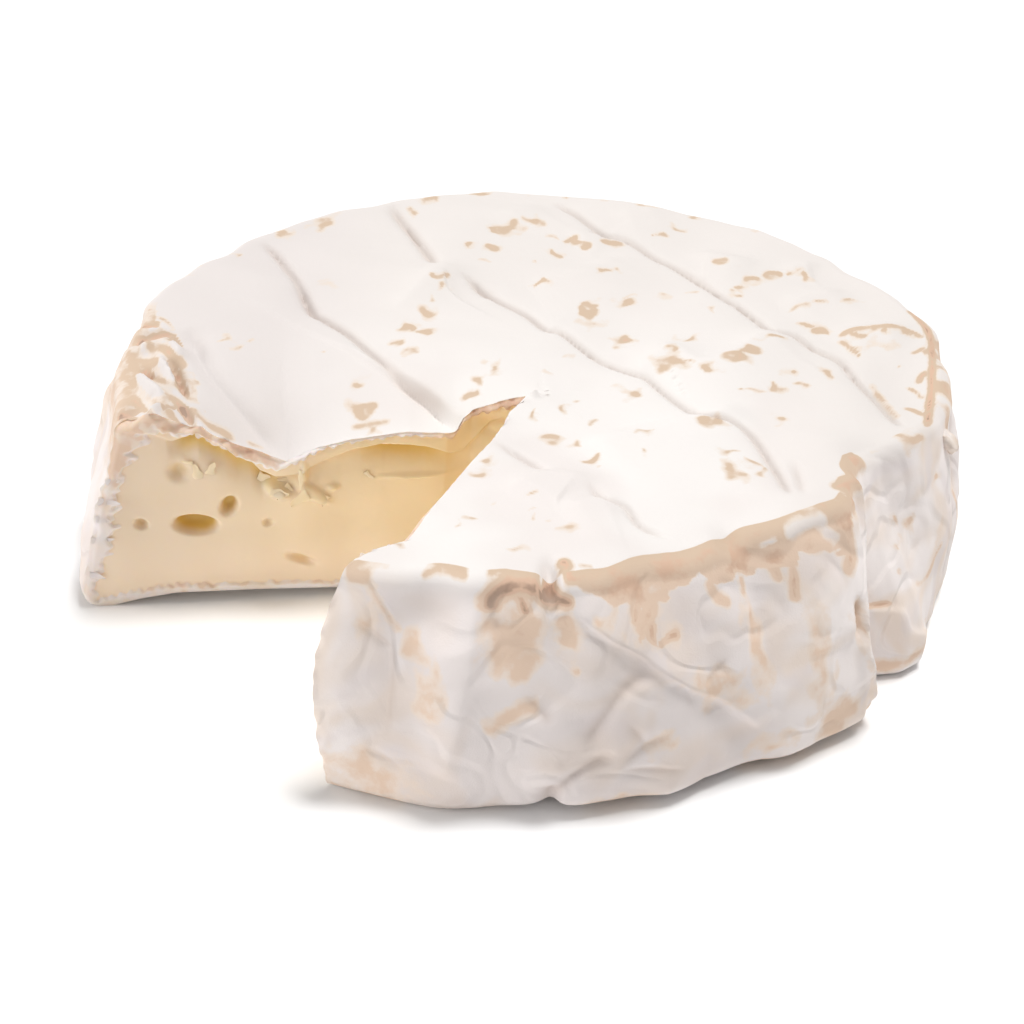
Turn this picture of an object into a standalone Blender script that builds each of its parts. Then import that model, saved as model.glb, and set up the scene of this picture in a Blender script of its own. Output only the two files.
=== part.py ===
"""A ripe camembert with one wedge cut out and taken away, as one solid.

The cheese lies flat on its base. +X is to the right, +Y to the back and +Z up, and the origin is
the middle of the base. Sizes are in millimetres, and the mesh is scaled to metres when it is made.

The skin is a fan of columns round a vertical axis, the tip of the missing wedge. Each column runs
out along the top, over the rim, down the wall and back along the base. The first and the last
column are the two cut faces, which are filled with a grid.
"""

import bpy
import numpy as np

MM = 0.001

# Main sizes
HEIGHT = 28.0
TIP = np.array([0.6, -10.6])
RIGHT_CUT_DEG = 243.0
LEFT_CUT_DEG = 545.5
RIM_ROUND = 1.8
BASE_ROUND = 2.0
DEG_ARC = 0.96

# Outline of the wall: angle in degrees and radius, at the base and under the rim
BASE_OUTLINE = [
    (197, 58.4), (235, 58.0), (248, 57.9), (256, 57.8), (265, 58.2), (270, 58.0), (275, 57.8),
    (280, 58.3), (286, 58.2), (291, 56.5), (299, 56.0), (305, 57.3), (313, 57.4), (317, 54.2),
    (320, 52.0), (322, 52.0), (326, 55.5), (329, 56.0), (333, 54.4), (337, 53.7), (350, 54.8),
    (373, 55.6), (400, 55.0), (450, 55.0), (500, 56.0), (540, 58.0), (557, 58.4),
]
RIM_OUTLINE = [
    (197, 51.2), (235, 53.2), (249, 53.6), (258, 52.4), (272, 53.4), (281, 51.6), (288, 50.0),
    (298, 49.6), (308, 50.4), (314, 50.8), (319, 49.4), (325, 47.2), (330, 47.6), (336, 50.8),
    (348, 52.6), (374, 52.6), (393, 50.2), (410, 50.9), (417, 50.4), (423, 49.7), (430, 49.9),
    (438, 51.3), (444, 52.2), (455, 53.8), (471, 53.0), (487, 53.5), (494, 52.6), (502, 51.6),
    (512, 51.6), (520, 52.0), (530, 50.5), (546, 50.8), (557, 50.8),
]
# How early the wall leans in towards the rim: a low power leans from the foot up
LEAN_POWER = [
    (197, 1.5), (235, 3.0), (280, 3.0), (300, 2.4), (316, 2.0), (328, 1.5), (342, 2.4),
    (370, 3.2), (500, 3.0), (532, 1.8), (544, 1.1), (557, 1.05),
]
BELLY = 0.5
# Soft waves of the surfaces: height, length, seed
TOP_WAVES = [(0.18, 26, 1), (0.08, 11, 2)]
WALL_WAVES = [(0.22, 15, 3), (0.12, 6.5, 4)]
FACE_WAVES = [(0.12, 9, 7)]

# The top sags behind the left cut. Each pair is the distance from the tip and the drop there.
SAG_LEFT_OF_GROOVE = [
    (0, 4.0), (9, 4.2), (15, 3.6), (22, 4.2), (26, 5.2), (30, 7.4), (33, 5.9), (36, 4.9),
    (41, 2.6), (45, 0.9), (50, 0.6), (60, 0.6),
]
SAG_RIGHT_OF_GROOVE = [(0, 0.4), (3, 1.0), (7, 2.0), (9, 3.0), (60, 3.0)]
SAG_REACH = 8.0
NEAR_TIP_REACH = 3.5
GROOVE_MEETS_CUT = 8.6
GROOVE_SLANT = 0.9
# How far the soft edge of the top hangs out over the left cut
OVERHANG = [
    (0, 0.2), (7, 0.4), (10, 1.9), (26, 1.9), (30, 1.6), (34, 1.0), (42, 0.8), (46, 0.4), (60, 0),
]
OVERHANG_REACH = 3.0
# The base arches off the board behind the left cut
ARCH = [(0, 1.5), (20, 2.0), (35, 2.8), (45, 2.9), (49.5, 1.6), (53, 0), (60, 0)]
ARCH_REACH = 9.0
# The foot is lifted off the board at the front right
FOOT_LIFT = 1.1
FOOT_LIFT_DEG = (264, 274, 318, 330)
# How far the soft right cut leans out over the missing wedge, by height
RIGHT_CUT_BULGE = [(0, 1.0), (5, 0.9), (10, 1.2), (14, 1.7), (18, 1.7), (22, 1.1), (26, 0.3), (28, 0)]
BULGE_REACH = 9.0
# How far the right cut bows into the cheese, by distance from the tip
RIGHT_CUT_BOW = [
    (0, 0), (6, 0.5), (14, 1.9), (21, 2.1), (30, 3.0), (36.5, 3.6), (40, 1.6), (44, 0.4), (47, 0), (60, 0),
]
# The left end of the top is torn. Outside this edge, as y and x, it falls away to the left.
TORN_EDGE = [(-17, -38.4), (-6.5, -40.3), (1.8, -43.3), (8.1, -47.3), (11.1, -50.1), (16, -56)]
TORN_DROP = [(-17, 0.5), (-10, 1.5), (-3, 2.6), (5, 2.4), (11, 1.0), (15, 0)]
TORN_WIDTH = 11.0

# Lines that the ripening rack left across the top: path, depth, half width
GROOVES = [
    ([(-37, 35), (-34.5, 31), (-32, 25), (-30, 19), (-28, 13), (-26, 10.5), (-23, 7), (-19.8, 1.5),
      (-17.3, -2.2), (-14.8, -5.8), (-12, -8.2), (-8.6, -11.5)], 0.9, 0.9),
    ([(-30.5, 21), (-28, 13), (-26.5, 10.8)], 0.6, 1.3),
    ([(-19.5, 48), (-18, 43), (-16, 38), (-14.5, 33), (-12, 26)], 1.0, 1.1),
    ([(-9, 24), (-7, 21.5), (-5, 18), (-3, 15), (0, 11.5), (2.5, 7), (4.5, 6), (7, 2.5), (10, -1.5),
      (13.5, -4.8), (15, -6), (17, -10), (20, -15.5), (22, -17), (25, -18.5), (27, -22),
      (28.5, -28), (30, -36)], 0.8, 0.8),
    ([(-7.5, 22), (-5, 18), (-4, 16.5)], 0.5, 1.4),
    ([(4, 49), (6.5, 45.5), (9, 40.5), (11, 37), (13, 36), (15, 34), (18, 29.5), (20, 27), (23, 22),
      (25.5, 17), (28, 13.5), (30, 10), (31.5, 7), (34.5, 6), (36.5, 2.5), (39.5, -1), (41, -6),
      (43, -12), (45, -19)], 0.8, 0.8),
    ([(9.5, 39), (11, 37), (12, 36.4)], 0.6, 1.2),
    ([(-4, -23), (-3, -24.5), (0, -27.5), (2.5, -30)], 0.7, 0.8),
    ([(7, -32), (8.5, -36), (11, -37.5), (12.5, -41.5), (16, -44.5)], 0.6, 0.8),
    ([(31, -27), (31.3, -36)], 0.5, 0.8),
    ([(-44, 7), (-42.5, 4), (-41, 0), (-39, -4), (-36, -8), (-33, -11), (-29.5, -13.5)], 1.0, 2.0),
]
# Each groove is a sharp crease in a shallow valley: shares of its depth and of its half width
CREASE_WIDTH = 0.6
VALLEY_DEPTH, VALLEY_WIDTH = 0.35, 3.2
# Folds of the rind on the top: path, height, width to its left, width to its right
CRESTS = [
    ([(-17, 12), (-15, 17), (-12.5, 23), (-10.5, 24.5), (-8.5, 22)], 0.7, 1.8, 7.0),
    ([(0, 20), (3, 21), (8, 24), (12, 28), (13, 30)], 0.6, 1.8, 8.0),
    ([(-4, 41), (0, 46), (3, 48)], 0.5, 1.8, 6.0),
    ([(6, 36), (9, 36.5), (12, 36)], 0.5, 1.5, 5.0),
    ([(12, 43), (18, 44), (20, 45)], 0.5, 1.5, 6.0),
    ([(22, 29), (25, 30), (28, 28), (32, 26)], 0.6, 1.5, 6.0),
    ([(35, 24), (38, 26.5), (40, 26)], 0.5, 1.5, 5.0),
    ([(33, 14), (37, 16), (43, 19)], 0.6, 1.6, 6.0),
    ([(14, -5), (18, 1), (21, -3), (24, -3), (27, 0), (30, 4), (34, 6)], 0.8, 1.8, 7.0),
    ([(39, 6), (45, 6.5), (50, 6)], 0.9, 1.2, 6.0),
    ([(6, -25), (11, -22), (15, -20), (20, -18), (24, -16), (27, -14.5)], 0.8, 1.6, 7.0),
    ([(-3, -35), (0, -31.5), (5, -31), (8, -33)], 0.7, 1.4, 6.0),
    ([(3, -39), (8, -37), (11, -36.5)], 0.7, 1.4, 5.0),
]
# Folds and furrows of the torn left end, in the same manner
TORN_FOLDS = [
    ([(-46.7, 1.3), (-44.7, -3.4), (-42.8, -8.7)], 1.3, 0.6, 1.0),
    ([(-49.2, -1.1), (-47.4, -5.2), (-44.8, -9.9), (-43.1, -11.8)], 1.4, 0.6, 1.2),
    ([(-51.5, -7), (-49.5, -10.5), (-47.5, -12.8)], 0.9, 0.6, 1.0),
    ([(-46.0, 3.6), (-44.6, 2.2), (-43.0, -1.2)], 1.1, 0.8, 0.8),
    ([(-46.1, 0.9), (-44.4, -2.4), (-42.8, -6.5), (-41.1, -10.5)], -1.2, 0.6, 0.5),
    ([(-48.7, -0.5), (-47.5, -2.4), (-46.6, -4.6)], -0.9, 0.5, 0.5),
    ([(-50.0, 2.2), (-49.5, 4.7), (-47.6, 5.3), (-45.7, 5.6), (-44.4, 3.6), (-43.3, 0.5)], -0.7, 0.6, 0.6),
    ([(-50.4, 8.2), (-48.8, 7.6), (-47.2, 7.0)], -0.4, 0.4, 0.4),
    ([(-51.6, 5.0), (-50.2, 6.2), (-48.2, 6.6), (-46.6, 6.9)], 0.4, 0.4, 0.5),
    ([(-45.9, -15.1), (-44.3, -13.6), (-42.8, -12.3)], 1.5, 0.7, 0.8),
    ([(-44.1, -14.3), (-43.5, -12.8), (-42.7, -12.0)], -0.9, 0.4, 0.4),
    ([(-42.2, -11.2), (-41.2, -12.6), (-40.2, -14.6)], -0.8, 0.6, 0.8),
    ([(-41.0, -10.8), (-39.6, -13.6), (-38.2, -15.8)], 0.6, 0.6, 0.8),
    ([(-51, -12.5), (-48.9, -13.4), (-46.5, -12.2)], -0.8, 0.8, 0.8),
]
# Single dents and knobs of the top: x, y, height, half length, half width, turn in degrees
TOP_SPOTS = [
    (2.4, -51.6, -1.9, 0.9, 2.2, 0),
    (22.5, -44.0, -1.2, 1.4, 2.2, 20),
    (-48.5, 2.8, 1.0, 1.2, 0.9, 0),
    (-46.0, -10.4, -0.5, 0.5, 0.5, 0),
    (1.0, -11.5, 0.9, 0.7, 0.7, 0),
    (46.5, -8.0, -1.3, 5.0, 9.0, 8),
    (40.5, -25.5, -1.4, 3.0, 3.0, 0),
]

# Folds of the wall, as angle in degrees and height: path, relief, width to the left, to the right
WALL_FOLDS = [
    ([(264.3, 26), (264.4, 20), (264, 16), (262.5, 9), (261.5, 5)], 1.0, 1.4, 4.0),
    ([(255.1, 21), (255.4, 15), (255, 9)], -0.35, 0.5, 1.6),
    ([(251.5, 22.2), (253.8, 20.5), (255.6, 19.0)], -0.35, 0.5, 0.9),
    ([(252.6, 7.4), (254.9, 6.6), (256.7, 5)], -0.25, 0.5, 1.2),
    ([(273.2, 5.0), (272.6, 2.4), (272.4, 0.0)], -1.2, 1.0, 1.6),
    ([(270, 15.5), (273, 12.4)], -0.4, 0.8, 0.8),
    ([(275.5, 25), (280.7, 21.2), (284.8, 18), (288.3, 15), (293.5, 11.2), (298.5, 6)], 0.85, 4.5, 0.5),
    ([(284.8, 17.2), (282, 16.6), (280, 15), (277.9, 11.6), (276.4, 8.5)], -0.7, 0.6, 1.6),
    ([(280.3, 8.3), (277.5, 7), (275, 5.5), (273.4, 3.2), (272.4, 0.8)], -0.8, 0.6, 1.4),
    ([(281, 12.4), (282.4, 10.2), (283.2, 7.8)], -0.35, 0.5, 1.4),
    ([(286, 9.7), (283.0, 8.4), (280.3, 6.2)], -0.4, 0.5, 1.4),
    ([(280, 5.8), (284.4, 5.4), (288.5, 4.3)], -0.4, 0.5, 1.2),
    ([(276.2, 2.4), (279, 1.6), (284.8, 0.5)], -1.2, 0.7, 0.7),
    ([(297.4, 23), (295.8, 16.6), (293.5, 11.6)], 0.8, 1.0, 4.0),
    ([(290.5, 14.3), (293.3, 16.4)], -0.4, 0.6, 0.6),
    ([(316.2, 28), (316, 25), (315.4, 21), (312.5, 17.8), (311, 15.5), (310.9, 13)], 1.3, 0.8, 5.0),
    ([(318.7, 28), (320.3, 25.8), (318.7, 20.8), (315.4, 18.5), (313.3, 15.5), (312.5, 12),
      (313.8, 8.2), (315.4, 4.3), (315.6, 1.6)], 1.3, 0.9, 0.9),
    ([(312.6, 18.6), (312.2, 15.5), (312.1, 12.5)], -1.3, 0.7, 0.7),
    ([(319.5, 11.4), (322.7, 10), (326, 8.9), (327.2, 5.9), (334, 3)], 0.4, 0.4, 3.0),
    ([(268, 27), (266.2, 24.8), (267.5, 21)], -0.5, 0.8, 1.2),
    ([(272.4, 27), (273.2, 24.5)], -0.9, 1.0, 1.0),
]
# Broad hollows and swellings of the wall: angle, height, relief, half width, half height
WALL_SPOTS = [
    (327, 17, -1.6, 6.5, 9.0), (340, 12, 0.8, 7.0, 7.0), (268.5, 19, -0.7, 3.0, 6.0),
    (258.5, 15, -0.7, 2.6, 7.0), (249, 10, 0.8, 3.0, 4.0), (287, 9, -0.6, 5.0, 4.0),
    (303, 18, -0.6, 4.0, 7.0), (307, 9, 0.7, 5.0, 6.0), (274, 9, 0.4, 3.0, 6.0),
    (348, 21.5, 1.3, 0.8, 0.8), (260, 23.5, -1.2, 5.5, 2.6),
]
# Folds in the same manner on the walls that face away: how many, and their size
BACK_FOLDS = 26
BACK_FOLD_FROM, BACK_FOLD_TO = 345.0, 541.0
BACK_FOLD_RELIEF = 0.7

# Dents, lumps and holes of the left cut face, as distance from the tip and height:
# place, relief, half length, half height, turn in degrees, edge sharpness
LEFT_FACE_SPOTS = [
    (31.4, 16.3, 1.3, 1.5, 1.0, 30, 4), (27.0, 15.9, 1.0, 2.3, 0.8, 38, 4),
    (28.0, 19.0, 0.7, 0.5, 1.4, 0, 3), (24.6, 16.6, 0.6, 0.7, 0.5, 0, 3),
    (5.0, 24.0, -0.9, 2.5, 1.6, 20, 2), (3.6, 23.4, 0.6, 1.6, 0.7, 10, 3),
    (41.8, 11.3, -2.6, 2.5, 1.3, 4, 6), (37.5, 14.0, -1.8, 0.9, 1.3, 25, 4),
    (43.3, 19.0, -1.0, 1.2, 1.2, 0, 3), (48.5, 11.6, -1.0, 0.8, 0.6, 30, 4),
    (29.0, 5.8, -1.0, 1.7, 0.6, 25, 3), (32.8, 11.5, -0.6, 0.6, 0.5, 0, 4),
    (14.5, 17.8, 0.7, 3.2, 0.3, 0, 2), (46.0, 15.0, -0.5, 5.0, 7.0, 0, 2),
]
RIGHT_FACE_SPOTS = [
    (16.0, 19.0, -1.6, 5.0, 1.4, 8, 2), (33.0, 21.0, -1.8, 4.0, 1.3, -10, 2),
    (24.0, 12.0, -2.2, 1.9, 1.1, 10, 6), (35.5, 8.5, -1.6, 1.1, 0.9, 0, 6),
    (12.0, 8.0, -1.4, 0.9, 0.8, 0, 6), (28.0, 16.5, 0.6, 3.0, 1.2, 0, 2),
]
# The paste hangs as a lip under the top of the left cut, by distance from the tip: the height of
# its lower edge, and how deep the hollow under it goes
LIP_EDGE = [
    (0, 26.0), (5, 24.0), (7.4, 21.5), (8.4, 20.6), (9.7, 20.6), (11.2, 21.3), (12.9, 22.0),
    (15, 22.4), (18.5, 22.6), (22, 22.0), (26, 20.4), (29, 18.8), (31.5, 18.4), (33.4, 19.2),
    (34.5, 20.6), (36, 21.2), (37.5, 22.7), (39.5, 24.0), (40.7, 24.8), (41.8, 24.2), (43.8, 23.4),
    (46, 24.6), (60, 27),
]
LIP_HOLLOW = [
    (0, 0), (6, 0.2), (8.5, 0.5), (12, 1.5), (15, 2.2), (18, 1.9), (21, 0.9), (24, 0.5), (28, 0.6),
    (31, 0.9), (33, 1.4), (36, 1.5), (38, 2.0), (40.5, 2.2), (42.5, 1.5), (44.5, 0.2), (46, 0), (60, 0),
]
LIP_HOLLOW_HEIGHT = 2.6
LIP_PROUD = 0.4

# How finely the skin is divided, and how many triangles the solid keeps
COLUMNS = 260
TOP_ROWS = 48
WALL_ROWS = 44
CORNER_ROWS = 5
SOLID_TRIANGLES = 11000
RIND_COLOUR = (0.86, 0.81, 0.76, 1.0)


def ramp(table, at):
    """The value of a table of pairs at each place."""
    places = [pair[0] for pair in table]
    values = [pair[1] for pair in table]
    return np.interp(at, places, values)


def smooth_step(low, high, at):
    share = np.clip((at - low) / (high - low), 0, 1)
    return share * share * (3 - 2 * share)


def ripple(x, y, size, seed):
    """Smooth random waves about as long as size, with a spread of about one."""
    draw = np.random.default_rng(seed)
    waves = 6
    total = np.zeros_like(x)
    for _ in range(waves):
        turn = draw.uniform(0, 2 * np.pi)
        count = 2 * np.pi / (size * draw.uniform(0.7, 1.4))
        total += np.sin(count * (x * np.cos(turn) + y * np.sin(turn)) + draw.uniform(0, 2 * np.pi))
    return total / np.sqrt(waves / 2)


def waves(x, y, layers):
    return sum(height * ripple(x, y, size, seed) for height, size, seed in layers)


def round_path(points, steps=5):
    """A smooth path through the given points."""
    points = np.array(points, float)
    if len(points) < 3:
        return points
    ends = np.vstack([2 * points[0] - points[1], points, 2 * points[-1] - points[-2]])
    path = []
    for before, start, end, after in zip(ends, ends[1:], ends[2:], ends[3:]):
        for step in range(steps):
            t = step / steps
            path.append(0.5 * (2 * start + (end - before) * t
                               + (2 * before - 5 * start + 4 * end - after) * t ** 2
                               + (3 * start - before - 3 * end + after) * t ** 3))
    path.append(points[-1])
    return np.array(path)


def stroke(x, y, points, left_width, right_width, fade=4.0):
    """A bump of height one along a path, as wide as given on either side, that fades at its ends."""
    path = round_path(points)
    reach = 3 * max(left_width, right_width)
    near = (x > path[:, 0].min() - reach) & (x < path[:, 0].max() + reach)
    near &= (y > path[:, 1].min() - reach) & (y < path[:, 1].max() + reach)
    result = np.zeros_like(x)
    if not near.any():
        return result
    px, py = x[near], y[near]
    best = np.full(px.shape, np.inf)
    side = np.zeros(px.shape)
    along = np.zeros(px.shape)
    lengths = np.hypot(*np.diff(path, axis=0).T)
    walked = 0.0
    for (ax, ay), (bx, by), length in zip(path, path[1:], lengths):
        ux, uy = (bx - ax) / length, (by - ay) / length
        run = np.clip((px - ax) * ux + (py - ay) * uy, 0, length)
        dx, dy = px - ax - run * ux, py - ay - run * uy
        distance = np.hypot(dx, dy)
        closer = distance < best
        best[closer] = distance[closer]
        side[closer] = (ux * dy - uy * dx)[closer]
        along[closer] = (walked + run)[closer]
        walked += length
    fade = min(fade, walked / 2.5)
    ends = smooth_step(0, fade, along + 0.3) * smooth_step(0, fade, walked - along + 0.3)
    width = np.where(side > 0, left_width, right_width)
    result[near] = ends * np.exp(-(best / width) ** 1.5)
    return result


def spot(x, y, middle, half_length, half_width, turn_deg=0.0, sharpness=2):
    """A round bump of height one, or with a flat middle and steep edges where sharpness is high."""
    turn = np.radians(turn_deg)
    dx, dy = x - middle[0], y - middle[1]
    across = (dx * np.cos(turn) + dy * np.sin(turn)) / half_length
    along = (dy * np.cos(turn) - dx * np.sin(turn)) / half_width
    return np.exp(-(across ** 2 + along ** 2) ** (sharpness / 2))


def heading(degrees):
    return np.array([np.cos(np.radians(degrees)), np.sin(np.radians(degrees))])


def behind_left_cut(x, y):
    """Distance from the tip along the left cut, and distance behind it into the cheese."""
    out = heading(LEFT_CUT_DEG)
    dx, dy = x - TIP[0], y - TIP[1]
    return dx * out[0] + dy * out[1], dx * out[1] - dy * out[0]


def sag(x, y):
    """Drop of the top towards the left cut, in two parts that meet at the first groove."""
    along, beside = behind_left_cut(x, y)
    behind = np.maximum(beside, 0)
    left = ramp(SAG_LEFT_OF_GROOVE, along) * np.exp(-(behind / SAG_REACH) ** 1.2)
    right = ramp(SAG_RIGHT_OF_GROOVE, along) * np.exp(-behind / NEAR_TIP_REACH)
    edge = GROOVE_MEETS_CUT + GROOVE_SLANT * behind
    share = smooth_step(-0.6, 0.9, along - edge)
    keep = np.where((along < -2) | (beside < -1), 0, 1)
    tail = np.exp(-np.maximum(-along, 0) / 2)
    return (left * share + right * (1 - share) * tail) * keep


def top_height(x, y):
    z = HEIGHT - sag(x, y)
    z -= ramp(TORN_DROP, y) * smooth_step(0, TORN_WIDTH, ramp(TORN_EDGE, y) - x)
    z += waves(x, y, TOP_WAVES)
    for path, depth, width in GROOVES:
        z -= depth * stroke(x, y, path, width * CREASE_WIDTH, width * CREASE_WIDTH)
        z -= depth * VALLEY_DEPTH * stroke(x, y, path, width * VALLEY_WIDTH, width * VALLEY_WIDTH)
    for path, height, back, front in CRESTS + TORN_FOLDS:
        z += height * stroke(x, y, path, back, front)
    for px, py, height, half_length, half_width, turn in TOP_SPOTS:
        z += height * spot(x, y, (px, py), half_length, half_width, turn)
    return z


def back_folds():
    """Creases for the walls that face away, at seeded places."""
    draw = np.random.default_rng(5)
    folds = []
    for _ in range(BACK_FOLDS):
        start = draw.uniform(BACK_FOLD_FROM, BACK_FOLD_TO)
        low = draw.uniform(2, 12)
        high = low + draw.uniform(6, 15)
        drift = draw.uniform(-7, 7)
        middle = (start + drift * 0.6, (low + high) / 2 + draw.uniform(-1, 1))
        path = [(start, high), middle, (start + drift, low)]
        relief = BACK_FOLD_RELIEF * draw.choice([-1, 1])
        folds.append((path, relief, draw.uniform(0.6, 1.2), draw.uniform(1.5, 4.5)))
    return folds


def wall_radius(angle, z):
    """Distance of the wall from the middle at an angle in degrees and a height."""
    base = ramp(BASE_OUTLINE, angle)
    rim = ramp(RIM_OUTLINE, angle)
    share = np.clip(z / HEIGHT, 0, 1.1)
    radius = base - (base - rim) * share ** ramp(LEAN_POWER, angle)
    radius += BELLY * np.sin(np.pi * np.clip(share / 0.7, 0, 1))
    arc = angle * DEG_ARC
    radius += waves(arc, z, WALL_WAVES)
    for path, relief, left, right in WALL_FOLDS + back_folds():
        path = [(degrees * DEG_ARC, height) for degrees, height in path]
        radius += relief * stroke(arc, z, path, left, right, fade=3.0)
    for degrees, height, relief, half_width, half_height in WALL_SPOTS:
        radius += relief * spot(arc, z, (degrees * DEG_ARC, height), half_width, half_height)
    return radius


def angle_about_middle(x, y):
    angle = np.degrees(np.arctan2(y, x)) % 360
    return np.where(angle < 220, angle + 360, angle)


def reach_of_wall(turn, z):
    """Distance from the tip's axis to the wall, along each column's own direction."""
    out_x, out_y = np.cos(turn), np.sin(turn)
    reach = np.full(np.broadcast(turn, z).shape, 50.0)
    for _ in range(5):
        x, y = TIP[0] + reach * out_x, TIP[1] + reach * out_y
        distance = np.hypot(x, y)
        slope = (x * out_x + y * out_y) / distance
        reach += (wall_radius(angle_about_middle(x, y), z) - distance) / slope
    return reach


def base_height(x, y):
    """Height of the underside: flat, but arched behind the left cut and lifted at the front."""
    along, behind = behind_left_cut(x, y)
    arch = ramp(ARCH, along) * np.exp(-(np.maximum(behind, 0) / ARCH_REACH) ** 1.5)
    arch *= smooth_step(-3, 3, behind) * smooth_step(0, 12, along)
    angle = np.degrees(np.arctan2(y, x)) % 360
    start, full, until, end = FOOT_LIFT_DEG
    lift = FOOT_LIFT * smooth_step(start, full, angle) * smooth_step(end, until, angle)
    lift *= smooth_step(44, 55, np.hypot(x, y))
    height = arch + lift
    return np.where(height < 0.02, 0, height)


def column_points(turns):
    """The skin's points, as an array of columns by rows by three."""
    turns = turns[:, None]
    out_x, out_y = np.cos(turns), np.sin(turns)

    inner = reach_of_wall(turns, np.full(turns.shape, HEIGHT - RIM_ROUND)) - RIM_ROUND
    reach = inner * np.linspace(0, 1, TOP_ROWS + 1)[None, :]
    top_z = top_height(TIP[0] + reach * out_x, TIP[1] + reach * out_y)

    edge = inner + RIM_ROUND
    foot_z = base_height(TIP[0] + edge * out_x, TIP[1] + edge * out_y)
    high = top_z[:, -1:] - RIM_ROUND
    low = foot_z + BASE_ROUND
    wall_z = high + (low - high) * np.linspace(0, 1, WALL_ROWS + 1)[None, :]
    wall = reach_of_wall(turns, wall_z)

    bends = np.radians(np.linspace(0, 90, CORNER_ROWS + 1))[None, :]
    rim_reach = inner + (wall[:, :1] - inner) * np.sin(bends[:, 1:-1])
    rim_z = high + RIM_ROUND * np.cos(bends[:, 1:-1])
    foot_reach = wall[:, -1:] - BASE_ROUND * (1 - np.cos(bends[:, 1:]))
    under_z = low - BASE_ROUND * np.sin(bends[:, 1:])

    under = foot_reach[:, -1:] * np.linspace(1, 0, TOP_ROWS + 1)[None, 1:]
    bottom_z = base_height(TIP[0] + under * out_x, TIP[1] + under * out_y)

    all_reach = np.hstack([reach, rim_reach, wall, foot_reach, under])
    all_z = np.hstack([top_z, rim_z, wall_z, under_z, bottom_z])
    x, y = TIP[0] + all_reach * out_x, TIP[1] + all_reach * out_y

    along, behind = behind_left_cut(x, y)
    hang = ramp(OVERHANG, along) * np.exp(-np.maximum(behind, 0) / OVERHANG_REACH)
    hang *= smooth_step(HEIGHT / 2, HEIGHT * 0.6, all_z) * (along > -1)
    hang *= smooth_step(-0.5, 0.5, behind + 0.6)
    hang = np.where(np.arange(x.shape[1])[None, :] <= TOP_ROWS, hang, 0)
    out = heading(LEFT_CUT_DEG)
    x, y = x - hang * out[1], y + hang * out[0]

    out = heading(RIGHT_CUT_DEG)
    along = (x - TIP[0]) * out[0] + (y - TIP[1]) * out[1]
    behind = (y - TIP[1]) * out[0] - (x - TIP[0]) * out[1]
    bulge = ramp(RIGHT_CUT_BULGE, all_z) * smooth_step(8, 44, along) - ramp(RIGHT_CUT_BOW, along)
    bulge *= np.exp(-np.maximum(behind, 0) / BULGE_REACH) * (behind > -1)
    return np.stack([x + bulge * out[1], y - bulge * out[0], all_z], axis=2)


def face_relief(along, height, spots, has_lip):
    """How far a cut face stands proud of its plane, nothing at its edges."""
    relief = waves(along, height, FACE_WAVES)
    for px, pz, rise, half_length, half_height, turn, sharpness in spots:
        relief += rise * spot(along, height, (px, pz), half_length, half_height, turn, sharpness)
    if has_lip:
        below = ramp(LIP_EDGE, along) - height
        deep = ramp(LIP_HOLLOW, along) * smooth_step(-0.1, 0.35, below)
        deep = deep * np.exp(-(np.maximum(below, 0) / LIP_HOLLOW_HEIGHT) ** 2)
        relief += LIP_PROUD * smooth_step(0.1, -0.2, below) - deep
    relief *= smooth_step(0, 1.2, along[:, -1:] - along) * smooth_step(0, 1.2, along)
    relief *= smooth_step(0, 1.6, height[:1] - height) * smooth_step(0, 1.0, height - height[-1:])
    return relief


def cut_face(outline, degrees, away, spots):
    """Fill a cut face between its column's points and the tip's axis. The points inside and those
    of the axis come back as an array of rows down by steps out from the axis."""
    top = outline[:TOP_ROWS + 1]
    side = outline[TOP_ROWS:-TOP_ROWS]
    base = outline[len(outline) - TOP_ROWS - 1:][::-1]
    rows = len(side)
    out_share = np.linspace(0, 1, TOP_ROWS + 1)[None, :, None]
    down_share = np.linspace(0, 1, rows)[:, None, None]
    axis = top[0] + (base[0] - top[0]) * np.linspace(0, 1, rows)[:, None]
    face = (1 - down_share) * top[None] + down_share * base[None]
    face = face + (1 - out_share) * axis[:, None] + out_share * side[:, None]
    corners = (1 - out_share) * ((1 - down_share) * top[0] + down_share * base[0])
    corners = corners + out_share * ((1 - down_share) * top[-1] + down_share * base[-1])
    face = face - corners

    out = heading(degrees)
    along = (face[..., 0] - TIP[0]) * out[0] + (face[..., 1] - TIP[1]) * out[1]
    height = face[..., 2]
    relief = face_relief(along, height, spots, away > 0)
    face[..., 0] -= relief * out[1] * away
    face[..., 1] += relief * out[0] * away
    return face


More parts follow.
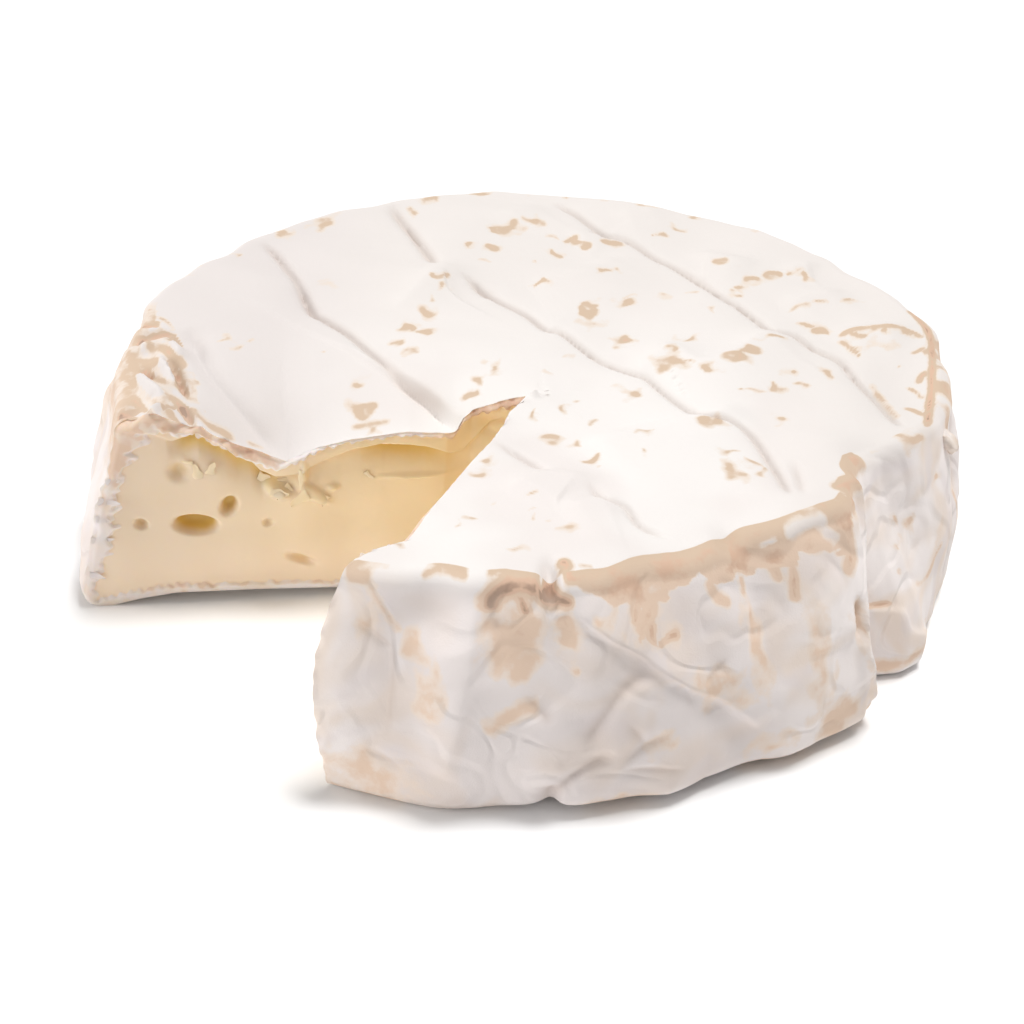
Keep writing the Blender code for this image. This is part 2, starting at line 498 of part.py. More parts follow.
def skin():
    """Points and faces of the whole closed skin."""
    turns = np.radians(np.linspace(RIGHT_CUT_DEG, LEFT_CUT_DEG, COLUMNS))
    columns = column_points(turns)
    count, rows, _ = columns.shape
    points = [columns[0, 0], columns[0, -1]]
    ids = np.zeros((count, rows), int)
    ids[:, -1] = 1
    inner = columns[:, 1:-1]
    ids[:, 1:-1] = np.arange(count * (rows - 2)).reshape(count, rows - 2) + len(points)
    points = np.vstack([points, inner.reshape(-1, 3)])
    faces = []

    def add_grid(grid, flip):
        for row, below in zip(grid, grid[1:]):
            for a, b, c, d in zip(row, row[1:], below[1:], below):
                ring = [a, b, c, d] if not flip else [d, c, b, a]
                ring = [spot_id for at, spot_id in enumerate(ring) if spot_id != ring[at - 1]]
                if len(ring) > 2:
                    faces.append(tuple(int(spot_id) for spot_id in ring))

    add_grid(ids, False)
    axis_ids = None
    cuts = [
        (0, RIGHT_CUT_DEG, -1, RIGHT_FACE_SPOTS, True),
        (count - 1, LEFT_CUT_DEG, 1, LEFT_FACE_SPOTS, False),
    ]
    for column, degrees, away, spots, flip in cuts:
        face = cut_face(columns[column], degrees, away, spots)
        down, out, _ = face.shape
        grid = np.zeros((down, out), int)
        grid[0] = ids[column, :TOP_ROWS + 1]
        grid[-1] = ids[column, rows - TOP_ROWS - 1:][::-1]
        grid[:, -1] = ids[column, TOP_ROWS:rows - TOP_ROWS]
        if axis_ids is None:
            axis_ids = np.arange(down - 2) + len(points)
            points = np.vstack([points, face[1:-1, 0]])
        grid[1:-1, 0] = axis_ids
        grid[1:-1, 1:-1] = np.arange((down - 2) * (out - 2)).reshape(down - 2, out - 2) + len(points)
        points = np.vstack([points, face[1:-1, 1:-1].reshape(-1, 3)])
        add_grid(grid, flip)
    middle = (points.min(axis=0) + points.max(axis=0)) / 2
    middle[2] = 0
    return points - middle, faces


def rind_material():
    material = bpy.data.materials.new("rind")
    material.use_nodes = True
    shader = material.node_tree.nodes["Principled BSDF"]
    shader.inputs["Base Color"].default_value = RIND_COLOUR
    shader.inputs["Roughness"].default_value = 0.8
    shader.inputs["Metallic"].default_value = 0.0
    return material


def make_camembert():
    points, faces = skin()
    mesh = bpy.data.meshes.new("camembert")
    mesh.from_pydata((points * MM).tolist(), [], faces)
    mesh.materials.append(rind_material())
    mesh.shade_smooth()
    cheese = bpy.data.objects.new("camembert", mesh)
    bpy.context.scene.collection.objects.link(cheese)
    triangles = sum(len(face) - 2 for face in faces)
    fewer = cheese.modifiers.new("fewer", "DECIMATE")
    fewer.ratio = SOLID_TRIANGLES / triangles
    fewer.use_collapse_triangulate = True
    return cheese


def main():
    for thing in list(bpy.data.objects):
        bpy.data.objects.remove(thing, do_unlink=True)
    make_camembert()


main()
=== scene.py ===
"""The looks of the camembert: its fine skin, the cut faces, their flakes and colours, the light and camera.

The fine skin follows the same named values as the solid it replaces, at a closer spacing and with the
small relief that the solid leaves out. Sizes are in millimetres, and meshes are scaled to metres.
"""

import bpy
import mathutils
import numpy as np
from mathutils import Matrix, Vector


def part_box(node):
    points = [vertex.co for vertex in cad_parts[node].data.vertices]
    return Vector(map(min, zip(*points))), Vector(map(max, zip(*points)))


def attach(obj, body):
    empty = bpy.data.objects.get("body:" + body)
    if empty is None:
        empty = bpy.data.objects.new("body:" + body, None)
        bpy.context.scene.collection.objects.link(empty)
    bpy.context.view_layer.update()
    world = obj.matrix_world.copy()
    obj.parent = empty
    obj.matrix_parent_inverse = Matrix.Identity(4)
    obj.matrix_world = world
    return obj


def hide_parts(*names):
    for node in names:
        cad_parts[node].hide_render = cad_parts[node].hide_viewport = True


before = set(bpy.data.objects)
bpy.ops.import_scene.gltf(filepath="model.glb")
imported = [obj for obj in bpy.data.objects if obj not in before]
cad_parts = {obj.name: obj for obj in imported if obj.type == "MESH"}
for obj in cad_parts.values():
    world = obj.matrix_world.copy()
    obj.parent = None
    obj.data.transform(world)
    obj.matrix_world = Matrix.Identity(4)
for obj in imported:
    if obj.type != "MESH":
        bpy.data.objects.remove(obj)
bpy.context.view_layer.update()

MM = 0.001

# Camera: the focal length is in pixels of a 1024 wide picture
FOCAL_PX = 2230.0
PICTURE_PX = 1024.0
SENSOR_MM = 36.0
CAMERA_AT = (0.0, -251.8, 155.1)
CAMERA_AIM = (-1.69, -5.36, 7.8)

# Main sizes
HEIGHT = 28.0
TIP = np.array([0.6, -10.6])
RIGHT_CUT_DEG = 243.0
LEFT_CUT_DEG = 545.5
RIM_ROUND = 1.8
BASE_ROUND = 2.0
DEG_ARC = 0.96

# Outline of the wall: angle in degrees and radius, at the base and under the rim
BASE_OUTLINE = [
    (197, 58.4), (235, 58), (248, 57.9), (256, 57.8), (265, 58.2), (270, 58), (275, 57.8), (280, 58.3),
    (286, 58.2), (291, 56.5), (299, 56), (305, 57.3), (313, 57.4), (317, 54.2), (320, 52), (322, 52),
    (326, 55.5), (329, 56), (333, 54.4), (337, 53.7), (350, 54.8), (373, 55.6), (400, 55), (450, 55),
    (500, 56), (540, 58), (557, 58.4),
]
RIM_OUTLINE = [
    (197, 51.2), (235, 53.2), (249, 53.6), (258, 52.4), (272, 53.4), (281, 51.6), (288, 50), (298, 49.6),
    (308, 50.4), (314, 50.8), (319, 49.4), (325, 47.2), (330, 47.6), (336, 50.8), (348, 52.6),
    (374, 52.6), (393, 50.2), (410, 50.9), (417, 50.4), (423, 49.7), (430, 49.9), (438, 51.3),
    (444, 52.2), (455, 53.8), (471, 53), (487, 53.5), (494, 52.6), (502, 51.6), (512, 51.6), (520, 52),
    (530, 50.5), (546, 50.8), (557, 50.8),
]
# How early the wall leans in towards the rim: a low power leans from the foot up
LEAN_POWER = [
    (197, 1.5), (235, 3), (280, 3), (300, 2.4), (316, 2), (328, 1.5), (342, 2.4), (370, 3.2), (500, 3),
    (532, 1.8), (544, 1.1), (557, 1.05),
]
BELLY = 0.5
# Soft waves of the surfaces: height, length, seed
TOP_WAVES = [(0.18, 26, 1), (0.08, 11, 2)]
WALL_WAVES = [(0.22, 15, 3), (0.12, 6.5, 4)]
FACE_WAVES = [(0.12, 9, 7)]

# The top sags behind the left cut. Each pair is the distance from the tip and the drop there.
SAG_LEFT_OF_GROOVE = [
    (0, 4), (9, 4.2), (15, 3.6), (22, 4.2), (26, 5.2), (30, 7.4), (33, 5.9), (36, 4.9), (41, 2.6),
    (45, 0.9), (50, 0.6), (60, 0.6),
]
SAG_RIGHT_OF_GROOVE = [(0, 0.4), (3, 1), (7, 2), (9, 3), (60, 3)]
SAG_REACH = 8.0
NEAR_TIP_REACH = 3.5
GROOVE_MEETS_CUT = 8.6
GROOVE_SLANT = 0.9
# How far the soft edge of the top hangs out over the left cut
OVERHANG = [(0, 0.2), (7, 0.4), (10, 1.9), (26, 1.9), (30, 1.6), (34, 1), (42, 0.8), (46, 0.4), (60, 0)]
OVERHANG_REACH = 3.0
# The base arches off the board behind the left cut
ARCH = [(0, 1.5), (20, 2), (35, 2.8), (45, 2.9), (49.5, 1.6), (53, 0), (60, 0)]
ARCH_REACH = 9.0
# The foot is lifted off the board at the front right
FOOT_LIFT = 1.1
FOOT_LIFT_DEG = (264, 274, 318, 330)
# How far the soft right cut leans out over the missing wedge, by height
RIGHT_CUT_BULGE = [(0, 1), (5, 0.9), (10, 1.2), (14, 1.7), (18, 1.7), (22, 1.1), (26, 0.3), (28, 0)]
BULGE_REACH = 9.0
# How far the right cut bows into the cheese, by distance from the tip
RIGHT_CUT_BOW = [
    (0, 0), (6, 0.5), (14, 1.9), (21, 2.1), (30, 3), (36.5, 3.6), (40, 1.6), (44, 0.4), (47, 0), (60, 0),
]
# The left end of the top is torn. Outside this edge, as y and x, it falls away to the left.
TORN_EDGE = [(-17, -38.4), (-6.5, -40.3), (1.8, -43.3), (8.1, -47.3), (11.1, -50.1), (16, -56)]
TORN_DROP = [(-17, 0.5), (-10, 1.5), (-3, 2.6), (5, 2.4), (11, 1), (15, 0)]
TORN_WIDTH = 11.0

# Lines that the ripening rack left across the top: path, depth, half width
GROOVES = [
    ([(-37, 35), (-34.5, 31), (-32, 25), (-30, 19), (-28, 13), (-26, 10.5), (-23, 7), (-19.8, 1.5),
      (-17.3, -2.2), (-14.8, -5.8), (-12, -8.2), (-8.6, -11.5)], 0.9, 0.9),
    ([(-30.5, 21), (-28, 13), (-26.5, 10.8)], 0.6, 1.3),
    ([(-19.5, 48), (-18, 43), (-16, 38), (-14.5, 33), (-12, 26)], 1, 1.1),
    ([(-9, 24), (-7, 21.5), (-5, 18), (-3, 15), (0, 11.5), (2.5, 7), (4.5, 6), (7, 2.5), (10, -1.5),
      (13.5, -4.8), (15, -6), (17, -10), (20, -15.5), (22, -17), (25, -18.5), (27, -22), (28.5, -28),
      (30, -36)], 0.8, 0.8),
    ([(-7.5, 22), (-5, 18), (-4, 16.5)], 0.5, 1.4),
    ([(4, 49), (6.5, 45.5), (9, 40.5), (11, 37), (13, 36), (15, 34), (18, 29.5), (20, 27), (23, 22),
      (25.5, 17), (28, 13.5), (30, 10), (31.5, 7), (34.5, 6), (36.5, 2.5), (39.5, -1), (41, -6), (43, -12),
      (45, -19)], 0.8, 0.8),
    ([(9.5, 39), (11, 37), (12, 36.4)], 0.6, 1.2),
    ([(-4, -23), (-3, -24.5), (0, -27.5), (2.5, -30)], 0.7, 0.8),
    ([(7, -32), (8.5, -36), (11, -37.5), (12.5, -41.5), (16, -44.5)], 0.6, 0.8),
    ([(31, -27), (31.3, -36)], 0.5, 0.8),
    ([(-44, 7), (-42.5, 4), (-41, 0), (-39, -4), (-36, -8), (-33, -11), (-29.5, -13.5)], 1, 2),
]
# Each groove is a sharp crease in a shallow valley: shares of its depth and of its half width
CREASE_WIDTH = 0.6
VALLEY_DEPTH, VALLEY_WIDTH = 0.35, 3.2
# Folds of the rind on the top: path, height, width to its left, width to its right
CRESTS = [
    ([(-17, 12), (-15, 17), (-12.5, 23), (-10.5, 24.5), (-8.5, 22)], 0.7, 1.8, 7),
    ([(0, 20), (3, 21), (8, 24), (12, 28), (13, 30)], 0.6, 1.8, 8),
    ([(-4, 41), (0, 46), (3, 48)], 0.5, 1.8, 6),
    ([(6, 36), (9, 36.5), (12, 36)], 0.5, 1.5, 5),
    ([(12, 43), (18, 44), (20, 45)], 0.5, 1.5, 6),
    ([(22, 29), (25, 30), (28, 28), (32, 26)], 0.6, 1.5, 6),
    ([(35, 24), (38, 26.5), (40, 26)], 0.5, 1.5, 5),
    ([(33, 14), (37, 16), (43, 19)], 0.6, 1.6, 6),
    ([(14, -5), (18, 1), (21, -3), (24, -3), (27, 0), (30, 4), (34, 6)], 0.8, 1.8, 7),
    ([(39, 6), (45, 6.5), (50, 6)], 0.9, 1.2, 6),
    ([(6, -25), (11, -22), (15, -20), (20, -18), (24, -16), (27, -14.5)], 0.8, 1.6, 7),
    ([(-3, -35), (0, -31.5), (5, -31), (8, -33)], 0.7, 1.4, 6),
    ([(3, -39), (8, -37), (11, -36.5)], 0.7, 1.4, 5),
]
# Folds and furrows of the torn left end, in the same manner
TORN_FOLDS = [
    ([(-46.7, 1.3), (-44.7, -3.4), (-42.8, -8.7)], 1.3, 0.6, 1),
    ([(-49.2, -1.1), (-47.4, -5.2), (-44.8, -9.9), (-43.1, -11.8)], 1.4, 0.6, 1.2),
    ([(-51.5, -7), (-49.5, -10.5), (-47.5, -12.8)], 0.9, 0.6, 1),
    ([(-46, 3.6), (-44.6, 2.2), (-43, -1.2)], 1.1, 0.8, 0.8),
    ([(-46.1, 0.9), (-44.4, -2.4), (-42.8, -6.5), (-41.1, -10.5)], -1.2, 0.6, 0.5),
    ([(-48.7, -0.5), (-47.5, -2.4), (-46.6, -4.6)], -0.9, 0.5, 0.5),
    ([(-50, 2.2), (-49.5, 4.7), (-47.6, 5.3), (-45.7, 5.6), (-44.4, 3.6), (-43.3, 0.5)], -0.7, 0.6, 0.6),
    ([(-50.4, 8.2), (-48.8, 7.6), (-47.2, 7)], -0.4, 0.4, 0.4),
    ([(-51.6, 5), (-50.2, 6.2), (-48.2, 6.6), (-46.6, 6.9)], 0.4, 0.4, 0.5),
    ([(-45.9, -15.1), (-44.3, -13.6), (-42.8, -12.3)], 1.5, 0.7, 0.8),
    ([(-44.1, -14.3), (-43.5, -12.8), (-42.7, -12)], -0.9, 0.4, 0.4),
    ([(-42.2, -11.2), (-41.2, -12.6), (-40.2, -14.6)], -0.8, 0.6, 0.8),
    ([(-41, -10.8), (-39.6, -13.6), (-38.2, -15.8)], 0.6, 0.6, 0.8),
    ([(-51, -12.5), (-48.9, -13.4), (-46.5, -12.2)], -0.8, 0.8, 0.8),
]
# Single dents and knobs of the top: x, y, height, half length, half width, turn in degrees
TOP_SPOTS = [
    (2.4, -51.6, -1.9, 0.9, 2.2, 0), (22.5, -44, -1.2, 1.4, 2.2, 20), (-48.5, 2.8, 1, 1.2, 0.9, 0),
    (-46, -10.4, -0.5, 0.5, 0.5, 0), (1, -11.5, 0.9, 0.7, 0.7, 0), (46.5, -8, -1.3, 5, 9, 8),
    (40.5, -25.5, -1.4, 3, 3, 0),
]

# Folds of the wall, as angle in degrees and height: path, relief, width to the left, to the right
WALL_FOLDS = [
    ([(264.3, 26), (264.4, 20), (264, 16), (262.5, 9), (261.5, 5)], 1, 1.4, 4),
    ([(255.1, 21), (255.4, 15), (255, 9)], -0.35, 0.5, 1.6),
    ([(251.5, 22.2), (253.8, 20.5), (255.6, 19)], -0.35, 0.5, 0.9),
    ([(252.6, 7.4), (254.9, 6.6), (256.7, 5)], -0.25, 0.5, 1.2),
    ([(273.2, 5), (272.6, 2.4), (272.4, 0)], -1.2, 1, 1.6),
    ([(270, 15.5), (273, 12.4)], -0.4, 0.8, 0.8),
    ([(275.5, 25), (280.7, 21.2), (284.8, 18), (288.3, 15), (293.5, 11.2), (298.5, 6)], 0.85, 4.5, 0.5),
    ([(284.8, 17.2), (282, 16.6), (280, 15), (277.9, 11.6), (276.4, 8.5)], -0.7, 0.6, 1.6),
    ([(280.3, 8.3), (277.5, 7), (275, 5.5), (273.4, 3.2), (272.4, 0.8)], -0.8, 0.6, 1.4),
    ([(281, 12.4), (282.4, 10.2), (283.2, 7.8)], -0.35, 0.5, 1.4),
    ([(286, 9.7), (283, 8.4), (280.3, 6.2)], -0.4, 0.5, 1.4),
    ([(280, 5.8), (284.4, 5.4), (288.5, 4.3)], -0.4, 0.5, 1.2),
    ([(276.2, 2.4), (279, 1.6), (284.8, 0.5)], -1.2, 0.7, 0.7),
    ([(297.4, 23), (295.8, 16.6), (293.5, 11.6)], 0.8, 1, 4),
    ([(290.5, 14.3), (293.3, 16.4)], -0.4, 0.6, 0.6),
    ([(316.2, 28), (316, 25), (315.4, 21), (312.5, 17.8), (311, 15.5), (310.9, 13)], 1.3, 0.8, 5),
    ([(318.7, 28), (320.3, 25.8), (318.7, 20.8), (315.4, 18.5), (313.3, 15.5), (312.5, 12), (313.8, 8.2),
      (315.4, 4.3), (315.6, 1.6)], 1.3, 0.9, 0.9),
    ([(312.6, 18.6), (312.2, 15.5), (312.1, 12.5)], -1.3, 0.7, 0.7),
    ([(319.5, 11.4), (322.7, 10), (326, 8.9), (327.2, 5.9), (334, 3)], 0.4, 0.4, 3),
    ([(268, 27), (266.2, 24.8), (267.5, 21)], -0.5, 0.8, 1.2),
    ([(272.4, 27), (273.2, 24.5)], -0.9, 1, 1),
]
# Broad hollows and swellings of the wall: angle, height, relief, half width, half height
WALL_SPOTS = [
    (327, 17, -1.6, 6.5, 9), (340, 12, 0.8, 7, 7), (268.5, 19, -0.7, 3, 6), (258.5, 15, -0.7, 2.6, 7),
    (249, 10, 0.8, 3, 4), (287, 9, -0.6, 5, 4), (303, 18, -0.6, 4, 7), (307, 9, 0.7, 5, 6),
    (274, 9, 0.4, 3, 6), (348, 21.5, 1.3, 0.8, 0.8), (260, 23.5, -1.2, 5.5, 2.6),
]
# Folds in the same manner on the walls that face away: how many, and their size
BACK_FOLDS = 26
BACK_FOLD_DEG = (345, 541)
BACK_FOLD_RELIEF = 0.7

# Dents, lumps and holes of the left cut face, as distance from the tip and height:
# place, relief, half length, half height, turn in degrees, edge sharpness
LEFT_FACE_SPOTS = [
    (31.4, 16.3, 1.3, 1.5, 1, 30, 4), (27, 15.9, 1, 2.3, 0.8, 38, 4), (28, 19, 0.7, 0.5, 1.4, 0, 3),
    (24.6, 16.6, 0.6, 0.7, 0.5, 0, 3), (5, 24, -0.9, 2.5, 1.6, 20, 2), (3.6, 23.4, 0.6, 1.6, 0.7, 10, 3),
    (41.8, 11.3, -2.6, 2.5, 1.3, 4, 6), (37.5, 14, -1.8, 0.9, 1.3, 25, 4), (43.3, 19, -1, 1.2, 1.2, 0, 3),
    (48.5, 11.6, -1, 0.8, 0.6, 30, 4), (29, 5.8, -1, 1.7, 0.6, 25, 3), (32.8, 11.5, -0.6, 0.6, 0.5, 0, 4),
    (14.5, 17.8, 0.7, 3.2, 0.3, 0, 2), (46, 15, -0.5, 5, 7, 0, 2),
]
RIGHT_FACE_SPOTS = [
    (16, 19, -1.6, 5, 1.4, 8, 2), (33, 21, -1.8, 4, 1.3, -10, 2), (24, 12, -2.2, 1.9, 1.1, 10, 6),
    (35.5, 8.5, -1.6, 1.1, 0.9, 0, 6), (12, 8, -1.4, 0.9, 0.8, 0, 6), (28, 16.5, 0.6, 3, 1.2, 0, 2),
]
# The paste hangs as a lip under the top of the left cut, by distance from the tip: the height of
# its lower edge, and how deep the hollow under it goes
LIP_EDGE = [
    (0, 26), (5, 24), (7.4, 21.5), (8.4, 20.6), (9.7, 20.6), (11.2, 21.3), (12.9, 22), (15, 22.4),
    (18.5, 22.6), (22, 22), (26, 20.4), (29, 18.8), (31.5, 18.4), (33.4, 19.2), (34.5, 20.6), (36, 21.2),
    (37.5, 22.7), (39.5, 24), (40.7, 24.8), (41.8, 24.2), (43.8, 23.4), (46, 24.6), (60, 27),
]
LIP_HOLLOW = [
    (0, 0), (6, 0.2), (8.5, 0.5), (12, 1.5), (15, 2.2), (18, 1.9), (21, 0.9), (24, 0.5), (28, 0.6),
    (31, 0.9), (33, 1.4), (36, 1.5), (38, 2), (40.5, 2.2), (42.5, 1.5), (44.5, 0.2), (46, 0), (60, 0),
]
LIP_HOLLOW_HEIGHT = 2.6
LIP_PROUD = 0.4

# Beige patches of the top where the white bloom has worn off: x, y, half width, half length, and then
# the strength, or one, and the turn in degrees, or none
TOP_PATCHES = [
    (-7.5, 52, 2.6, 0.8), (-14, 49.5, 1, 1.5), (-16.3, 45.2, 0.7, 1.5, 1, -20),
    (-28.7, 41.5, 1.3, 2.4, 1, -20), (-33.5, 37.5, 1, 2, 0.8, -10), (-39.7, 30.2, 0.8, 0.8, 0.8),
    (-2.4, 38.6, 1.9, 2.2, 1, -10), (-4.3, 37.9, 0.9, 0.7), (1.4, 41.2, 0.8, 1.8, 1, 25),
    (-8, 33.1, 0.7, 0.7), (-4.8, 32, 1, 1), (-5, 27.5, 1.2, 0.8, 0.6), (0.8, 28.2, 0.6, 0.5, 0.9),
    (2, 20.9, 0.7, 0.9, 1, -20), (3.8, 31, 0.7, 0.9), (6.4, 34.4, 1, 0.7, 1, -25), (7.4, 33.4, 1.2, 0.8),
    (12, 34.3, 1.6, 0.8, 1, -40), (3.8, 36, 0.8, 0.6, 0.7), (-11.2, 21.8, 0.7, 0.7),
    (-11.3, 19, 0.7, 0.9, 0.9), (-12.4, 15.5, 0.8, 1.2, 0.8), (-13, 11.7, 0.9, 1.7, 1, 10),
    (-15.4, 7.6, 0.9, 1.4), (-13, 5.8, 1.7, 0.9, 1, 5), (-16.8, 3.5, 0.6, 1.6, 0.65),
    (-14.5, 0.5, 0.8, 1.2, 0.6), (-26.5, 20.5, 1.8, 1.5, 0.5), (-38.3, 4.3, 0.8, 0.6, 0.8),
    (-37.3, 2.7, 0.5, 0.8, 0.8), (-34.8, 4.2, 0.8, 0.6, 0.7), (-25.6, 1.3, 0.5, 0.6, 0.8),
    (-20.8, -5, 0.7, 0.7, 0.9), (-20.3, -9.8, 1.2, 1.2), (-18.5, -13.6, 0.8, 1, 0.7),
    (-14.8, -16.7, 0.7, 0.8, 0.9), (-17, -17.8, 0.7, 0.9, 0.9), (-3.8, -4, 0.9, 2.2, 0.65),
    (-5.9, -7.5, 0.7, 0.9, 0.95), (-6.7, -9.4, 0.6, 0.7, 0.95), (10.7, 23.6, 0.7, 0.6),
    (12.5, 24.8, 0.8, 1.2, 0.6), (8.3, 14, 1, 1.2), (8, 11.6, 1.2, 1.5), (13.3, 14.5, 1.5, 0.9),
    (13.6, 16.2, 1.3, 0.6, 0.6), (8.5, 8.5, 1.8, 1.4, 0.62), (12.8, 4.2, 1.7, 0.9, 1, -15),
    (11.6, 2.8, 0.6, 0.8, 0.7), (21, 4, 1.4, 0.6, 0.85, 45), (22, 17.7, 0.9, 0.7, 0.6),
    (18, 16.5, 1.1, 1.3, 0.6), (24.5, 12.3, 0.8, 0.6, 0.6), (18.2, -3.2, 2.1, 2), (18.3, -0.6, 0.7, 1.2),
    (20.7, -3.6, 1.2, 0.5, 0.8, -40), (22.5, -5.5, 1, 0.9, 1, -30), (26.4, -2.6, 1.3, 1.5, 1, -30),
    (28.2, -0.5, 1.4, 1.2, 1, 45), (31.6, 3.6, 1.8, 0.7, 0.9, 20), (26.3, 26.3, 1, 1.2, 1, 30),
    (30.2, 21.2, 1.2, 1.3), (29, 18.8, 0.5, 1.2, 0.8, -20), (28, 16.9, 0.9, 0.9),
    (33, 23.5, 0.9, 1.4, 0.9), (36.2, 24.2, 1.1, 0.6, 0.95, 20), (37.5, 22.8, 0.5, 1.1, 0.9, 10),
    (18.7, 36.7, 0.7, 0.7, 0.9), (21.3, 39.3, 1.6, 0.6, 0.9, -40), (35.6, 13.2, 1.5, 0.7, 0.75, 30),
    (39, 14.8, 1.2, 0.6, 0.7), (42.6, 15.3, 1.2, 0.6, 0.7), (36.7, 8.8, 1.2, 0.7, 0.95, -30),
    (38.2, 7, 0.6, 1.3, 0.95, 15), (42.7, 4.7, 1, 0.8), (44.5, 5.2, 0.7, 0.6, 0.9), (46.3, 5.3, 0.7, 0.8),
    (48.3, 5.2, 1, 0.7, 1, -20), (41.7, 0.4, 0.5, 1.5, 1, 10), (42.3, 2, 0.7, 0.6, 0.8),
    (44.8, 2.4, 2.4, 1.4, 0.62), (46.5, -2, 0.4, 0.5), (32.7, -5.2, 0.6, 0.6),
    (37.2, -5.2, 0.8, 1.5, 1, 5), (30.6, -9.2, 0.8, 1.7, 1, 35), (26.5, -10.7, 0.6, 0.5, 0.9),
    (28, -10.4, 1.2, 0.7, 0.6, 30), (34, -8, 0.5, 0.6, 0.8), (30.4, -17, 0.6, 0.9, 0.95, 10),
    (13.2, -10.6, 1, 1.1, 0.95), (12, -9, 1.4, 1.3, 0.62), (22.2, -18.9, 1.1, 1.6),
    (3.2, -21.8, 1.4, 1.1, 1, 15), (23.8, -29.5, 1.3, 2.4, 1, 25), (26, -27.7, 0.5, 1.6, 0.9, 25),
    (27, -30.3, 0.4, 1.4, 0.9, 15), (24, -25.7, 0.9, 0.6, 0.8), (7.6, -26.9, 0.8, 0.6, 0.95),
    (8.8, -28.6, 0.5, 0.5, 0.6), (14.3, -26, 0.7, 0.4, 0.8, -40), (14.2, -21.6, 0.9, 0.3, 0.75, 45),
    (-4.5, -28, 0.9, 0.8, 0.95), (-5.4, -30.7, 0.6, 1, 0.9, 30), (0.5, -35.9, 0.8, 0.5, 0.7, 20),
    (-3.5, -37.2, 1.1, 0.6, 0.6, 30), (0.9, -39, 0.5, 0.5, 0.75), (1.4, -40.6, 0.5, 0.5, 0.75),
    (4.8, -42.8, 1.3, 1, 0.72, 20), (-6.3, -40.9, 0.7, 0.6, 0.75, 30), (-7.4, -41.9, 0.7, 0.5, 0.75, 30),
    (-1, -47.1, 1.1, 0.7, 0.8, 20), (4.5, -15, 0.5, 1.8, 0.66, -15), (5.8, -12.7, 0.8, 0.4, 0.7, 40),
    (7.8, -17.8, 0.8, 0.7, 0.75), (1.2, -16.5, 0.4, 2.2, 0.6, -20), (6.2, -23.6, 0.6, 0.6, 0.7),
    (5.3, -0.6, 0.7, 1.3, 0.6), (-14, -45.6, 1.6, 0.4, 0.7, -15), (2.9, -5.2, 1, 0.5, 0.5),
]
# Beige streaks of the top: path, width to its left, width to its right, strength
TOP_STREAKS = [
    ([(39.8, 4.7), (41.2, 6), (44.4, 6.1), (48.9, 5.9), (51, 4)], 0.5, 0.9, 0.95),
    ([(39.8, 4.7), (41.1, 2.1), (42, -0.1)], 0.7, 0.5, 0.9),
    ([(50, 13), (50.9, 9.7), (51.6, 5.9), (51.5, 1.6), (50.4, -5.3), (49.1, -12),
      (47.8, -18.3)], 0.6, 0.5, 1.55),
    ([(50.9, 2.6), (49.6, 1.2), (48.4, 0.4)], 0.5, 0.5, 0.9),
    ([(50.4, -3.4), (49.2, -4.6), (48.8, -6.2)], 0.5, 0.5, 1.1),
    ([(47.1, -6), (48.4, -8.2), (48.6, -10.2)], 0.5, 0.5, 1),
    ([(45.6, -12.2), (47.2, -13.4), (48.2, -15.2)], 0.6, 0.6, 1.1),
    ([(44, -22.4), (45.4, -21.4), (46.6, -20.6)], 0.8, 0.8, 1),
    ([(42.5, -6), (43.6, -11), (45, -16)], 0.9, 0.6, 0.7),
    ([(-41.4, -11.6), (-39.6, -13.4), (-37.2, -14), (-35, -14.3)], 1.1, 0.9, 0.95),
    ([(-34.4, -13.8), (-33, -14), (-31.6, -13.9)], 0.6, 0.6, 0.85),
    ([(-21.8, -12.6), (-18.8, -12.2), (-16.1, -11.6)], 0.8, 0.8, 0.75),
    ([(-49.8, 12.4), (-48.9, 11.2), (-47.6, 10.6)], 0.4, 0.4, 0.7),
    ([(-48.2, 9.9), (-46.3, 8.1), (-44.9, 5.8)], 0.4, 0.4, 0.7),
    ([(34.6, -34.6), (37.4, -31.6), (40.3, -27.6), (42, -25), (43, -24.2)], 1.3, 1.3, 1.1),
    ([(3.5, -48.8), (4.6, -50.6), (3.2, -51.6)], 0.8, 0.8, 1.3),
    ([(5.6, -50.4), (7.4, -50.6)], 0.7, 0.7, 0.9),
]
